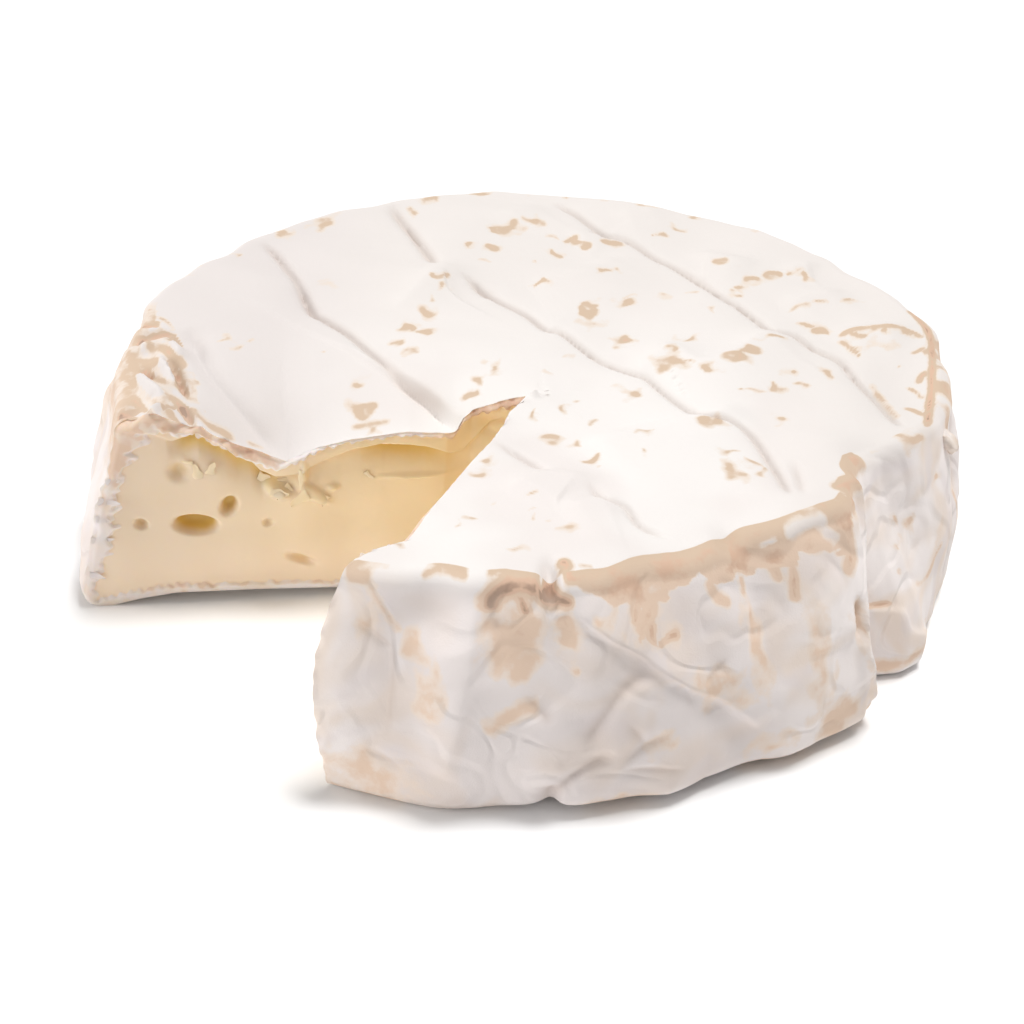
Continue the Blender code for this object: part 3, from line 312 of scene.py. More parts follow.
# Beige patches of the wall, as angle in degrees and height, with the same columns in millimetres
WALL_PATCHES = [
    (268.8, 21.9, 3.2, 3.6, 0.95), (269.4, 18.4, 1.6, 1.9, 0.9), (274.5, 22.3, 1.3, 2, 0.85),
    (275.4, 18.6, 0.7, 1, 0.85, 20), (266.8, 21.4, 0.6, 0.6, 0.9), (283.1, 22, 0.6, 0.7, 1.2),
    (284.6, 21, 0.8, 0.6, 1.3), (286.4, 20.3, 0.9, 0.6, 1.25, 15), (252.2, 3.2, 7, 4, 0.7),
    (245.4, 10.5, 1.2, 6, 0.7), (252.6, 22.4, 2.2, 2, 0.6, 20), (260, 15.4, 1.6, 4, 0.8),
    (257.5, 20, 1.4, 2, 0.69), (250.8, 27.2, 1.7, 1, 0.86), (278.5, 24, 1.6, 1.2, 0.74, -20),
    (280.5, 1.2, 3.6, 0.8, 0.95, -6), (285.5, 8.5, 2.4, 1.6, 0.76, 25),
    (292.5, 13.5, 4.2, 2.4, 0.76, -35), (298, 16, 1.3, 6, 0.8, 8), (305.6, 12.5, 1.6, 7, 0.76, -4),
    (312.1, 15.4, 0.6, 2.2), (308.5, 4.5, 2.6, 3.4, 0.86, 10), (299.5, 4, 3, 1.6, 0.74, 10),
    (340, 20.4, 0.7, 0.8, 1.15), (333.2, 17.3, 0.6, 0.9), (330.3, 17.8, 0.5, 1, 0.95),
    (328.8, 16, 0.4, 0.6, 0.9), (327.6, 13.4, 0.5, 0.7, 0.85), (336, 26.9, 2, 0.9, 1.1),
    (320.5, 19, 1.2, 4, 0.5), (347, 24.6, 1.3, 1.5), (352, 26.4, 2.2, 1, 1.1), (358, 26.2, 2, 1, 1.1),
    (365, 26.6, 2, 0.9), (322.5, 21.5, 0.5, 0.9, 0.8), (349, 12, 0.8, 4, 0.7, 8),
]
# Beige streaks of the wall, as angle and height: path, half widths in millimetres, strength
WALL_STREAKS = [
    ([(265.9, 24.2), (266.4, 26), (268.2, 27.1), (270.4, 27.3), (271.9, 27)], 1.4, 1.4, 1.7),
    ([(269.4, 26.8), (269.8, 25.4), (270.4, 24.2)], 0.8, 0.8, 1.6),
    ([(271.4, 27.2), (272.6, 26.2), (274.4, 25.9), (275.8, 25.5)], 0.9, 0.9, 2.1),
    ([(274, 24.8), (274.8, 22.6), (274.2, 20.8)], 1.5, 1.5, 1.15),
    ([(314.4, 27), (318, 27.8), (322, 27.9), (327, 27.8)], 1.3, 1.5, 1.1),
    ([(295.6, 1), (302, 0.9), (310, 1.4)], 0.6, 0.6, 0.8),
    ([(274.2, 28.2), (275.4, 28), (276.6, 27.4)], 0.9, 0.9, 1.15),
    ([(285.6, 24.6), (284.2, 23), (282.6, 21.2)], 1.3, 1.3, 1.1),
    ([(282.4, 24.8), (282.6, 23.6), (282.4, 22.4)], 0.9, 0.9, 1.1),
    ([(292.2, 25.4), (292.7, 23.4), (293.9, 22.5), (295.2, 21.9)], 0.9, 0.7, 1.1),
    ([(301.8, 24.2), (302.3, 22.8), (302.6, 21.8)], 0.8, 0.8, 1.1),
    ([(304.4, 24.2), (304.1, 21.4), (303.8, 19.4)], 0.8, 0.8, 1.15),
    ([(297.2, 24), (297.4, 23), (297, 21.6)], 0.5, 0.5, 0.9),
    ([(312.4, 26.6), (313.1, 24.4), (312.9, 22.2), (311.3, 20.6)], 1.2, 1, 1.15),
    ([(311.6, 25), (308.8, 25), (306, 25.2)], 0.8, 0.8, 1.1),
    ([(265.5, 11.5), (267.6, 12.9), (270, 14.2), (272, 14.4)], 1.6, 1.4, 0.72),
    ([(252, 26.6), (254, 23.6), (256.2, 21)], 0.6, 1, 0.72),
    ([(257.6, 27.3), (259.7, 28), (262, 28.1), (263.8, 27.8)], 0.4, 0.6, 1),
    ([(249, 28), (251.5, 28.3), (254.5, 28.3)], 0.4, 0.5, 0.9),
    ([(265.2, 28.1), (267.2, 28.4), (269, 28.1)], 0.4, 0.4, 1),
    ([(312.6, 1.8), (320.5, 1.8), (326, 2.2), (330.1, 3.2), (335, 3)], 1.2, 1.2, 0.95),
    ([(319.9, 11.4), (322.6, 10.6), (325.6, 10.2)], 0.4, 0.4, 1.2),
    ([(341, 18), (338, 13.6), (335, 10)], 0.8, 0.8, 0.5),
    ([(330, 10.6), (334, 10), (339, 12.6)], 0.5, 0.5, 0.8),
    ([(247.4, 1), (252, 0.6), (257, 0.6)], 0.7, 0.7, 0.8),
    ([(312.2, 18.3), (311.4, 14), (313.2, 8.2), (315, 3)], 0.8, 0.6, 0.55),
]
# White islands in the band along the rim, in the same manner
WALL_ISLANDS = [
    ([(300.2, 26), (303.7, 26.9)], 0.5, 0.5, 0.9),
    ([(303.9, 26.7), (307, 27.4), (311, 27.3)], 1, 0.8, 1),
    ([(309.2, 26), (310.8, 25.6), (312, 24.6)], 0.6, 0.6, 0.9),
    ([(284, 24.6), (285.4, 25), (286.8, 25.2)], 0.8, 0.8, 0.35),
    ([(275, 27.4), (276.6, 26.4), (277.6, 26)], 0.6, 0.5, 0.5),
]
# Lower edge of the beige band along the rim, as angle and height
RIM_BAND = [
    (275.5, 29), (276.5, 26.4), (278, 25.8), (280, 25.6), (282, 24.2), (284.5, 23.8), (287.4, 24.2),
    (289.5, 25.2), (291.5, 25.8), (292.3, 24.8), (294.2, 24.1), (298.4, 23.8), (301.9, 23.6),
    (304.9, 23.4), (305.5, 24.6), (308.3, 24.7), (310.3, 23.6), (312.1, 22.5), (314, 24.5), (315, 27.4),
    (316, 30),
]
# Patches in the same manner on the walls that face away: how many, and between which angles
BACK_PATCHES = 60
BACK_PATCH_DEG = (352, 552)
# Small curls of torn rind on the left cut: distance from the tip, height, length, width, direction in
# degrees from outward towards up, and how far the free end lifts off the face
CURLS = [
    (55.4, 4.8, 2, 1, 185, 0.15), (55, 9.8, 3, 1.1, 186, 0.2), (54, 12.8, 1.8, 0.9, 178, 0.15),
    (53.6, 15.6, 2.8, 1, 188, 0.2), (52.8, 18.4, 1.8, 0.9, 174, 0.15),
]
# Flakes of paste on the left cut, in the same manner
PASTE_CURLS = [
    (33.8, 17.8, 2.6, 1.7, 205, 0.25), (32.2, 16.4, 2.2, 1.4, 195, 0.25),
    (30.8, 17.8, 2.8, 1.3, 255, 0.3), (29.6, 16.8, 2.4, 1.3, 325, 0.3), (27.6, 16.4, 2.6, 1.4, 335, 0.25),
    (25.4, 15.6, 1.6, 1.1, 300, 0.2), (28.4, 19.8, 2.6, 0.7, 268, 0.3), (20.4, 18.6, 1.4, 0.6, 240, 0.2),
    (40.8, 18.2, 2.2, 1.2, 80, 0.12), (39.4, 18.8, 1.8, 1.1, 100, 0.12), (41.6, 20.4, 1.4, 0.5, 10, 0.12),
]
# Curls on the top edge of the right cut, as distance from the tip and along the same columns
RIGHT_CURLS = [
    (41.4, 27.2, 0.7, 1.2, 100, 0.4), (40, 27.3, 0.5, 1, 80, 0.4), (38.4, 27.4, 0.4, 0.8, 95, 0.3),
]
CRUMB_AT = (51.6, -13.0, 22.6)
CRUMB_RADIUS = 1.5
# Width of the rind where a cut meets the wall, by height, and at the base and the top, by distance
# from the tip
SIDE_RIND = [
    (0, 1.3), (5, 2), (9, 2.6), (13, 2.6), (17, 2.2), (20, 2.4), (22, 3.2), (24, 4.6), (25.6, 6.4),
    (30, 7),
]
BASE_RIND = [(0, 0.9), (25, 1), (32, 1.1), (38, 1.1), (44, 1.5), (47, 1.2), (60, 1)]
TOP_RIND = [(0, 1), (10, 0.9), (13, 0.6), (25, 0.7), (30, 1.3), (42, 1.5), (50, 2.2), (60, 2.4)]
# How bare of bloom the rind at the outer side of a cut is, by height
SIDE_RIND_WORN = [(0, 0.3), (8, 0.2), (15, 0.35), (18, 0.6), (21, 0.85), (30, 0.85)]
# Fraying of the lines where the cuts meet the rind, like the waves above, and its share at the top
FRAY = [(0.1, 1.9, 51), (0.12, 4.5, 52)]
TOP_FRAY = [(0, 1.2), (10, 1), (12, 0.3), (34, 0.3), (37, 1.2), (60, 1.2)]
FRAY_REACH = 0.8

# Finely divided skin: columns from cut to cut, rows from the tip down to the foot, and how much
# coarser the underside is
COLUMNS = 700
TOP_ROWS = 130
WALL_ROWS = 80
CORNER_ROWS = 6
UNDER_COLUMN_STEP = 4
UNDER_ROW_STEP = 5
CURL_RINGS = 7
CURL_SIDES = 10
CURL_THICK = 0.11
# How far the rind stands proud of the paste
RIND_STEP = 0.35
RIPPLE_WAVES = 6
# Creases steeper than this are shaded as edges
SHARP_DEG = 65

# What is painted on the points where nothing else is said: how bare of bloom, how deep in a crease for its
# painted shade, rind or paste, how deep in a hollow of the paste for its golden painted shade, and top or
# side
PLAIN_PAINT = {"worn": 0.0, "crease": 0.0, "rind": 1.0, "hollow": 0.0, "side": 1.0}
# How far the edges of the worn patches wander, and the paler ring round each patch
WARP = 0.42
HALO = 1.4
HALO_WORN = 0.42
# How bare of bloom the torn end, its crests and furrows, the rim and the other parts are; the crests are
# also painted paler as highlight and the furrows darker as shade
TORN_WORN = 0.64
CREST_WORN_AND_HIGHLIGHT = -0.5
FURROW_WORN_AND_SHADE = 0.75
TORN_STREAKS = 0.2
TIP_EDGE_WORN = 1.2
RIM_BAND_WORN = 1.06
CURL_WORN = 0.05
# The depths at which dents and the hollow under the lip take their full golden painted shade, and the mark
# of a flake
DENT_FULL_SHADE_DEPTH = 2.4
LIP_FULL_SHADE_DEPTH = 2.1
FLAKE_HOLLOW = -0.5

# Colours of the bloom on the top and on the wall, and of the painted shade on them, of the patches where it
# has worn off, of painted shade in creases, and of the paste, with painted bounce light and golden painted
# shade
BLOOM_WHITE = (0.865, 0.825, 0.795)
BLOOM_CREAM = (0.83, 0.775, 0.745)
# Painted shade: the top greys towards the back and the right, and further towards the left
BLOOM_PAINTED_SHADE = (0.80, 0.75, 0.715)
BLOOM_LEFT_PAINTED_SHADE = (0.765, 0.71, 0.685)
WALL_WHITE = (0.91, 0.84, 0.81)
WALL_BEIGE = (0.87, 0.75, 0.66)
WALL_GREY = (0.82, 0.745, 0.73)
# Painted shade for a band of the wall across the middle
WALL_PAINTED_SHADE = (0.70, 0.63, 0.615)
EDGE_BEIGE_TOP = (0.79, 0.68, 0.58)
EDGE_BEIGE_WALL = (0.86, 0.72, 0.61)
WORN_TOP = (0.655, 0.50, 0.37)
WORN_WALL = (0.80, 0.61, 0.475)
WORN_BROWN = (0.70, 0.48, 0.35)
WORN_DARK = (0.46, 0.31, 0.23)
# Brownish painted shade in the grooves and creases
CREASE_PAINTED_SHADE = (0.56, 0.45, 0.38)
PASTE_LEFT = (0.85, 0.69, 0.52)
# Painted warm bounce light: the paste turns warmer towards the tip
PASTE_TIP_PAINTED_BOUNCE = (0.93, 0.745, 0.475)
PASTE_LOW = (0.92, 0.74, 0.56)
# Golden painted shade in the dents and in the hollow under the lip
PASTE_GOLDEN_SHADE = (0.80, 0.56, 0.18)
PASTE_FLAKE = (0.98, 0.80, 0.53)
FLOOR_WHITE = (0.95, 0.95, 0.95)
FLOOR_PALE = (0.955, 0.955, 0.955)
# Noises: waves per metre, levels of detail, roughness, distortion
BROAD_NOISE = (55, 2)
SOFT_NOISE = (95, 2, 0.5, 0.6)
GREY_NOISE = (90, 2, 0.5, 1.0)
MIDDLE_NOISE = (330, 3, 0.5)
FINE_NOISE = (1300, 3, 0.6)
CRUMPLE_NOISE = (75, 1, 0.4, 1.2)
FUZZ_NOISE = (5200, 2, 0.6)
FLOOR_NOISE = (3, 1)
# Gloss, and the light that passes through the paste: its share, its reach in each colour, in metres
RIND_SHINE = 0.25
PASTE_SHINE = 0.4
PASTE_GLOW = 0.2
PASTE_GLOW_COLOUR = (1.0, 0.6, 0.25)
PASTE_GLOW_DEPTH = 0.002
FLOOR_ROUGHNESS = 0.9
FLOOR_HALF = 3.0

# Lights, in metres: a key from above, a fill on the left cut and a weak broad light from the left
WORLD_STRENGTH = 0.34
KEY_ENERGY = 2.3
KEY_SPREAD_DEG = 20
KEY_AT = (0, 0, 0.5)
KEY_WAY = (-0.25, -0.12, -1.0)
SIDE_ENERGY = 1.5
SIDE_SPREAD_DEG = 50
SIDE_AT = (-0.5, 0, 0.3)
SIDE_WAY = (1.0, 0.08, -0.2)
FILL_POWER = 1.3
FILL_CONE_DEG = 16
FILL_BLEND = 0.7
FILL_RADIUS = 0.06
FILL_AT = (-0.35, -0.28, 0.14)
FILL_AIM = (-0.028, -0.022, 0.012)


def ramp(table, at):
    """The value of a table of pairs at each place."""
    places, values = zip(*table)
    return np.interp(at, places, values)


def smooth_step(low, high, at):
    share = np.clip((at - low) / (high - low), 0, 1)
    return share * share * (3 - 2 * share)


def ripple(x, y, size, seed):
    """Smooth random waves about as long as size, with a spread of about one."""
    draw = np.random.default_rng(seed)
    total = np.zeros_like(x)
    for _ in range(RIPPLE_WAVES):
        turn = draw.uniform(0, 2 * np.pi)
        count = 2 * np.pi / (size * draw.uniform(0.7, 1.4))
        total += np.sin(count * (x * np.cos(turn) + y * np.sin(turn)) + draw.uniform(0, 2 * np.pi))
    return total / np.sqrt(RIPPLE_WAVES / 2)


def waves(x, y, layers):
    """Several ripples added up, each given as height, length and seed."""
    return sum(height * ripple(x, y, size, seed) for height, size, seed in layers)


def round_path(points, steps=5):
    """A smooth path through the given points."""
    points = np.array(points, float)
    if len(points) < 3:
        return points
    ends = np.vstack([2 * points[0] - points[1], points, 2 * points[-1] - points[-2]])
    path = []
    for before, start, end, after in zip(ends, ends[1:], ends[2:], ends[3:]):
        for step in range(steps):
            t = step / steps
            path.append(0.5 * (2 * start + (end - before) * t
                               + (2 * before - 5 * start + 4 * end - after) * t ** 2
                               + (3 * start - before - 3 * end + after) * t ** 3))
    path.append(points[-1])
    return np.array(path)


def stroke(x, y, points, left_width, right_width, fade=4.0):
    """A bump of height one along a path, as wide as given on either side, that fades at its ends."""
    path = round_path(points)
    reach = 3 * max(left_width, right_width)
    near = (x > path[:, 0].min() - reach) & (x < path[:, 0].max() + reach)
    near &= (y > path[:, 1].min() - reach) & (y < path[:, 1].max() + reach)
    result = np.zeros_like(x)
    if not near.any():
        return result
    px, py = x[near], y[near]
    best = np.full(px.shape, np.inf)
    side = np.zeros(px.shape)
    along = np.zeros(px.shape)
    walked = 0.0
    for (ax, ay), (bx, by) in zip(path, path[1:]):
        length = np.hypot(bx - ax, by - ay)
        ux, uy = (bx - ax) / length, (by - ay) / length
        run = np.clip((px - ax) * ux + (py - ay) * uy, 0, length)
        dx, dy = px - ax - run * ux, py - ay - run * uy
        distance = np.hypot(dx, dy)
        closer = distance < best
        best[closer] = distance[closer]
        side[closer] = (ux * dy - uy * dx)[closer]
        along[closer] = (walked + run)[closer]
        walked += length
    fade = min(fade, walked / 2.5)
    ends = smooth_step(0, fade, along + 0.3) * smooth_step(0, fade, walked - along + 0.3)
    width = np.where(side > 0, left_width, right_width)
    result[near] = ends * np.exp(-(best / width) ** 1.5)
    return result


def spot(x, y, middle, half_length, half_width, turn_deg=0.0, sharpness=2):
    """A round bump of height one, or with a flat middle and steep edges where sharpness is high."""
    turn = np.radians(turn_deg)
    dx, dy = x - middle[0], y - middle[1]
    across = (dx * np.cos(turn) + dy * np.sin(turn)) / half_length
    along = (dy * np.cos(turn) - dx * np.sin(turn)) / half_width
    return np.exp(-(across ** 2 + along ** 2) ** (sharpness / 2))


def heading(degrees):
    return np.array([np.cos(np.radians(degrees)), np.sin(np.radians(degrees))])


def beside_cut(x, y, degrees):
    """Distance from the tip along a cut, and distance to the left of it."""
    out = heading(degrees)
    dx, dy = x - TIP[0], y - TIP[1]
    return dx * out[0] + dy * out[1], dy * out[0] - dx * out[1]


def behind_left_cut(x, y):
    """Distance from the tip along the left cut, and distance behind it into the cheese."""
    along, left = beside_cut(x, y, LEFT_CUT_DEG)
    return along, -left


def sag(x, y):
    """Drop of the top towards the left cut, in two parts that meet at the first groove."""
    along, beside = behind_left_cut(x, y)
    behind = np.maximum(beside, 0)
    left = ramp(SAG_LEFT_OF_GROOVE, along) * np.exp(-(behind / SAG_REACH) ** 1.2)
    right = ramp(SAG_RIGHT_OF_GROOVE, along) * np.exp(-behind / NEAR_TIP_REACH)
    share = smooth_step(-0.6, 0.9, along - (GROOVE_MEETS_CUT + GROOVE_SLANT * behind))
    keep = np.where((along < -2) | (beside < -1), 0, 1)
    tail = np.exp(-np.maximum(-along, 0) / 2)
    return (left * share + right * (1 - share) * tail) * keep


def top_height(x, y):
    """Height of the top, with its sag, its torn left end, its grooves and its folds."""
    z = HEIGHT - sag(x, y)
    z -= ramp(TORN_DROP, y) * smooth_step(0, TORN_WIDTH, ramp(TORN_EDGE, y) - x)
    z += waves(x, y, TOP_WAVES)
    for path, depth, width in GROOVES:
        z -= depth * stroke(x, y, path, width * CREASE_WIDTH, width * CREASE_WIDTH)
        z -= depth * VALLEY_DEPTH * stroke(x, y, path, width * VALLEY_WIDTH, width * VALLEY_WIDTH)
    for path, height, back, front in CRESTS + TORN_FOLDS:
        z += height * stroke(x, y, path, back, front)
    for px, py, height, half_length, half_width, turn in TOP_SPOTS:
        z += height * spot(x, y, (px, py), half_length, half_width, turn)
    return z


def back_folds():
    """Creases for the walls that face away, at seeded places."""
    draw = np.random.default_rng(5)
    folds = []
    for _ in range(BACK_FOLDS):
        start = draw.uniform(*BACK_FOLD_DEG)
        low = draw.uniform(2, 12)
        high = low + draw.uniform(6, 15)
        drift = draw.uniform(-7, 7)
        middle = (start + drift * 0.6, (low + high) / 2 + draw.uniform(-1, 1))
        path = [(start, high), middle, (start + drift, low)]
        relief = BACK_FOLD_RELIEF * draw.choice([-1, 1])
        folds.append((path, relief, draw.uniform(0.6, 1.2), draw.uniform(1.5, 4.5)))
    return folds


def wall_path(path):
    """A path of angles and heights, with the angles laid out as lengths."""
    return [(degrees * DEG_ARC, height) for degrees, height in path]


def wall_radius(angle, z):
    """Distance of the wall from the middle at an angle in degrees and a height."""
    base = ramp(BASE_OUTLINE, angle)
    rim = ramp(RIM_OUTLINE, angle)
    share = np.clip(z / HEIGHT, 0, 1.1)
    radius = base - (base - rim) * share ** ramp(LEAN_POWER, angle)
    radius += BELLY * np.sin(np.pi * np.clip(share / 0.7, 0, 1))
    arc = angle * DEG_ARC
    radius += waves(arc, z, WALL_WAVES)
    for path, relief, left, right in WALL_FOLDS + back_folds():
        radius += relief * stroke(arc, z, wall_path(path), left, right, fade=3.0)
    for degrees, height, relief, half_width, half_height in WALL_SPOTS:
        radius += relief * spot(arc, z, (degrees * DEG_ARC, height), half_width, half_height)
    return radius


def angle_about_middle(x, y):
    """Angle in degrees, counted on past 360 so that it never jumps outside the missing wedge."""
    angle = np.degrees(np.arctan2(y, x)) % 360
    return np.where(angle < 220, angle + 360, angle)


def reach_of_wall(turn, z):
    """Distance from the tip's axis to the wall, along each column's own direction."""
    out_x, out_y = np.cos(turn), np.sin(turn)
    reach = np.full(np.broadcast(turn, z).shape, 50.0)
    for _ in range(5):
        x, y = TIP[0] + reach * out_x, TIP[1] + reach * out_y
        distance = np.hypot(x, y)
        slope = (x * out_x + y * out_y) / distance
        reach += (wall_radius(angle_about_middle(x, y), z) - distance) / slope
    return reach


def base_height(x, y):
    """Height of the underside: flat, but arched behind the left cut and lifted at the front."""
    along, behind = behind_left_cut(x, y)
    arch = ramp(ARCH, along) * np.exp(-(np.maximum(behind, 0) / ARCH_REACH) ** 1.5)
    arch *= smooth_step(-3, 3, behind) * smooth_step(0, 12, along)
    angle = np.degrees(np.arctan2(y, x)) % 360
    start, full, until, end = FOOT_LIFT_DEG
    lift = FOOT_LIFT * smooth_step(start, full, angle) * smooth_step(end, until, angle)
    lift *= smooth_step(44, 55, np.hypot(x, y))
    height = arch + lift
    return np.where(height < 0.02, 0, height)


def column_points(turns, detail):
    """The skin's points, as an array of columns by rows by three. Detail multiplies the rows."""
    turns = turns[:, None]
    out_x, out_y = np.cos(turns), np.sin(turns)
    top_rows = TOP_ROWS * detail

    inner = reach_of_wall(turns, np.full(turns.shape, HEIGHT - RIM_ROUND)) - RIM_ROUND
    reach = inner * np.linspace(0, 1, top_rows + 1)[None, :]
    top_z = top_height(TIP[0] + reach * out_x, TIP[1] + reach * out_y)

    edge = inner + RIM_ROUND
    foot_z = base_height(TIP[0] + edge * out_x, TIP[1] + edge * out_y)
    high = top_z[:, -1:] - RIM_ROUND
    low = foot_z + BASE_ROUND
    wall_z = high + (low - high) * np.linspace(0, 1, WALL_ROWS * detail + 1)[None, :]
    wall = reach_of_wall(turns, wall_z)

    bends = np.radians(np.linspace(0, 90, CORNER_ROWS * detail + 1))[None, :]
    rim_reach = inner + (wall[:, :1] - inner) * np.sin(bends[:, 1:-1])
    rim_z = high + RIM_ROUND * np.cos(bends[:, 1:-1])
    foot_reach = wall[:, -1:] - BASE_ROUND * (1 - np.cos(bends[:, 1:]))
    under_z = low - BASE_ROUND * np.sin(bends[:, 1:])

    under = foot_reach[:, -1:] * np.linspace(1, 0, top_rows + 1)[None, 1:]
    bottom_z = base_height(TIP[0] + under * out_x, TIP[1] + under * out_y)

    reach = np.hstack([reach, rim_reach, wall, foot_reach, under])
    z = np.hstack([top_z, rim_z, wall_z, under_z, bottom_z])
    x, y = TIP[0] + reach * out_x, TIP[1] + reach * out_y
    x, y = hang_over_left_cut(x, y, z, top_rows)
    return np.stack([*shape_right_cut(x, y, z), z], axis=2)


def hang_over_left_cut(x, y, z, top_rows):
    """Push the soft edge of the top out over the left cut."""
    along, behind = behind_left_cut(x, y)
    hang = ramp(OVERHANG, along) * np.exp(-np.maximum(behind, 0) / OVERHANG_REACH)
    hang *= smooth_step(HEIGHT / 2, HEIGHT * 0.6, z) * (along > -1)
    hang *= smooth_step(-0.5, 0.5, behind + 0.6)
    hang = np.where(np.arange(x.shape[1])[None, :] <= top_rows, hang, 0)
    out = heading(LEFT_CUT_DEG)
    return x - hang * out[1], y + hang * out[0]


def shape_right_cut(x, y, z):
    """Let the right cut lean out over the missing wedge and bow into the cheese."""
    along, behind = beside_cut(x, y, RIGHT_CUT_DEG)
    bulge = ramp(RIGHT_CUT_BULGE, z) * smooth_step(8, 44, along) - ramp(RIGHT_CUT_BOW, along)
    bulge *= np.exp(-np.maximum(behind, 0) / BULGE_REACH) * (behind > -1)
    out = heading(RIGHT_CUT_DEG)
    return x + bulge * out[1], y - bulge * out[0]


def face_relief(along, height, spots, has_lip):
    """How far a cut face stands proud of its plane, and how deep its hollows are for their golden painted
    shade.
    """
    relief = waves(along, height, FACE_WAVES)
    hollow = np.zeros_like(along)
    for px, pz, rise, half_length, half_height, turn, sharpness in spots:
        dent = spot(along, height, (px, pz), half_length, half_height, turn, sharpness)
        relief += rise * dent
        hollow = np.maximum(hollow, -rise / DENT_FULL_SHADE_DEPTH * dent)
    if has_lip:
        below = ramp(LIP_EDGE, along) - height
        deep = ramp(LIP_HOLLOW, along) * smooth_step(-0.1, 0.35, below)
        deep = deep * np.exp(-(np.maximum(below, 0) / LIP_HOLLOW_HEIGHT) ** 2)
        relief += LIP_PROUD * smooth_step(0.1, -0.2, below) - deep
        hollow = np.maximum(hollow, deep / LIP_FULL_SHADE_DEPTH)
    relief *= smooth_step(0, 1.2, along[:, -1:] - along) * smooth_step(0, 1.2, along)
    relief *= smooth_step(0, 1.6, height[:1] - height) * smooth_step(0, 1.0, height - height[-1:])
    return relief, np.minimum(hollow, 1)


def wear_patch(worn, x, y, px, py, half_width, half_length, strength=1, turn=0):
    """Wear a patch off the bloom: its strength in the middle, half of that at its edge, then a halo."""
    reach = 4 * max(half_width, half_length) + 3 * HALO
    near = (np.abs(x - px) < reach) & (np.abs(y - py) < reach)
    core = spot(x[near], y[near], (px, py), half_width, half_length, turn) ** np.log(2)
    halo = spot(x[near], y[near], (px, py), half_width + HALO, half_length + HALO, turn)
    worn[near] = np.maximum(worn[near], strength * np.maximum(core, HALO_WORN * halo))


def worn_patches(x, y, patches):
    """How bare of bloom a surface is for its patches, whose edges wander."""
    worn = np.zeros_like(x)
    x, y = x + WARP * ripple(x, y, 3.2, 81), y + WARP * ripple(x, y, 3.2, 82)
    for patch in patches:
        wear_patch(worn, x, y, *patch)
    return worn


def worn_top(x, y):
    """How bare of bloom the top is, with its streaks and its torn left end."""
    worn = worn_patches(x, y, TOP_PATCHES)
    for path, left, right, strength in TOP_STREAKS:
        worn = np.maximum(worn, strength * stroke(x, y, path, left, right, fade=1.5))
    torn = TORN_WORN * smooth_step(-0.6, 1.4, ramp(TORN_EDGE, y) - x + 0.4 * ripple(x, y, 2.4, 43))
    torn *= smooth_step(15, 9, y) * (y > -18)
    # Crests of the torn folds paler and furrows darker: partly bare rind, partly painted highlight and
    # shade
    for path, height, back, front in TORN_FOLDS:
        line = smooth_step(0.25, 0.6, stroke(x, y, path, back, front))
        torn = torn + (CREST_WORN_AND_HIGHLIGHT if height > 0 else FURROW_WORN_AND_SHADE) * line
    across, along = 0.87 * x + 0.5 * y, 0.87 * y - 0.5 * x
    torn = torn + TORN_STREAKS * ripple(across, along / 4, 1.7, 44) * (torn > 0.2)
    return np.maximum(worn, torn * (x < -34))


def back_patches():
    """Worn patches at seeded places on the walls that face away, most of them under the rim."""
    draw = np.random.default_rng(11)
    patches = []
    for _ in range(BACK_PATCHES):
        place = draw.uniform(*BACK_PATCH_DEG)
        near_rim = draw.uniform(0, 1) < 0.6
        height = draw.uniform(24, 27.5) if near_rim else draw.uniform(1, 22)
        half_width, half_length = draw.uniform(0.7, 3.2), draw.uniform(0.6, 2.2)
        turn, strength = draw.uniform(-40, 40), draw.uniform(0.55, 1.0)
        patches.append((place, height, half_width, half_length, strength, turn))
    return patches


def worn_wall(angle, z):
    """How bare of bloom the wall is, with its streaks and the band along the rim."""
    arc = angle * DEG_ARC
    patches = [(degrees * DEG_ARC, *rest) for degrees, *rest in WALL_PATCHES + back_patches()]
    worn = worn_patches(arc, z, patches)
    edge = ramp(RIM_BAND, angle) + 0.22 * ripple(arc, z, 2.6, 41) + 0.12 * ripple(arc, z, 1.1, 42)
    in_band = (angle > RIM_BAND[0][0]) & (angle < RIM_BAND[-1][0])
    worn = np.maximum(worn, RIM_BAND_WORN * smooth_step(-0.45, 0.45, z - edge) * in_band)
    for path, left, right, strength in WALL_STREAKS:
        worn = np.maximum(worn, strength * stroke(arc, z, wall_path(path), left, right, fade=1.2))
    for path, left, right, strength in WALL_ISLANDS:
        worn = worn - strength * stroke(arc, z, wall_path(path), left, right, fade=1.5)
    torn = TORN_WORN * smooth_step(520, 530, angle) * smooth_step(17, 24, z)
    return np.maximum(worn, torn)


def creases(x, y, z, angle, on_top):
    """How deep in a groove or a crease each point lies, for the brownish painted shade there."""
    deep = np.zeros_like(x)
    for path, depth, width in GROOVES[:-1]:
        deep = np.maximum(deep, depth * stroke(x, y, path, width * 0.6, width * 0.6) * on_top)
    for path, height, left, right in TORN_FOLDS:
        if height < 0:
            deep = np.maximum(deep, -height * stroke(x, y, path, left * 0.7, right * 0.7) * on_top)
    for path, relief, left, right in WALL_FOLDS + back_folds():
        if relief < 0:
            width = left * 0.7, min(right, 1.0) * 0.7
            line = stroke(angle * DEG_ARC, z, wall_path(path), *width, fade=3.0)
            deep = np.maximum(deep, line * (1 - on_top))
    return deep


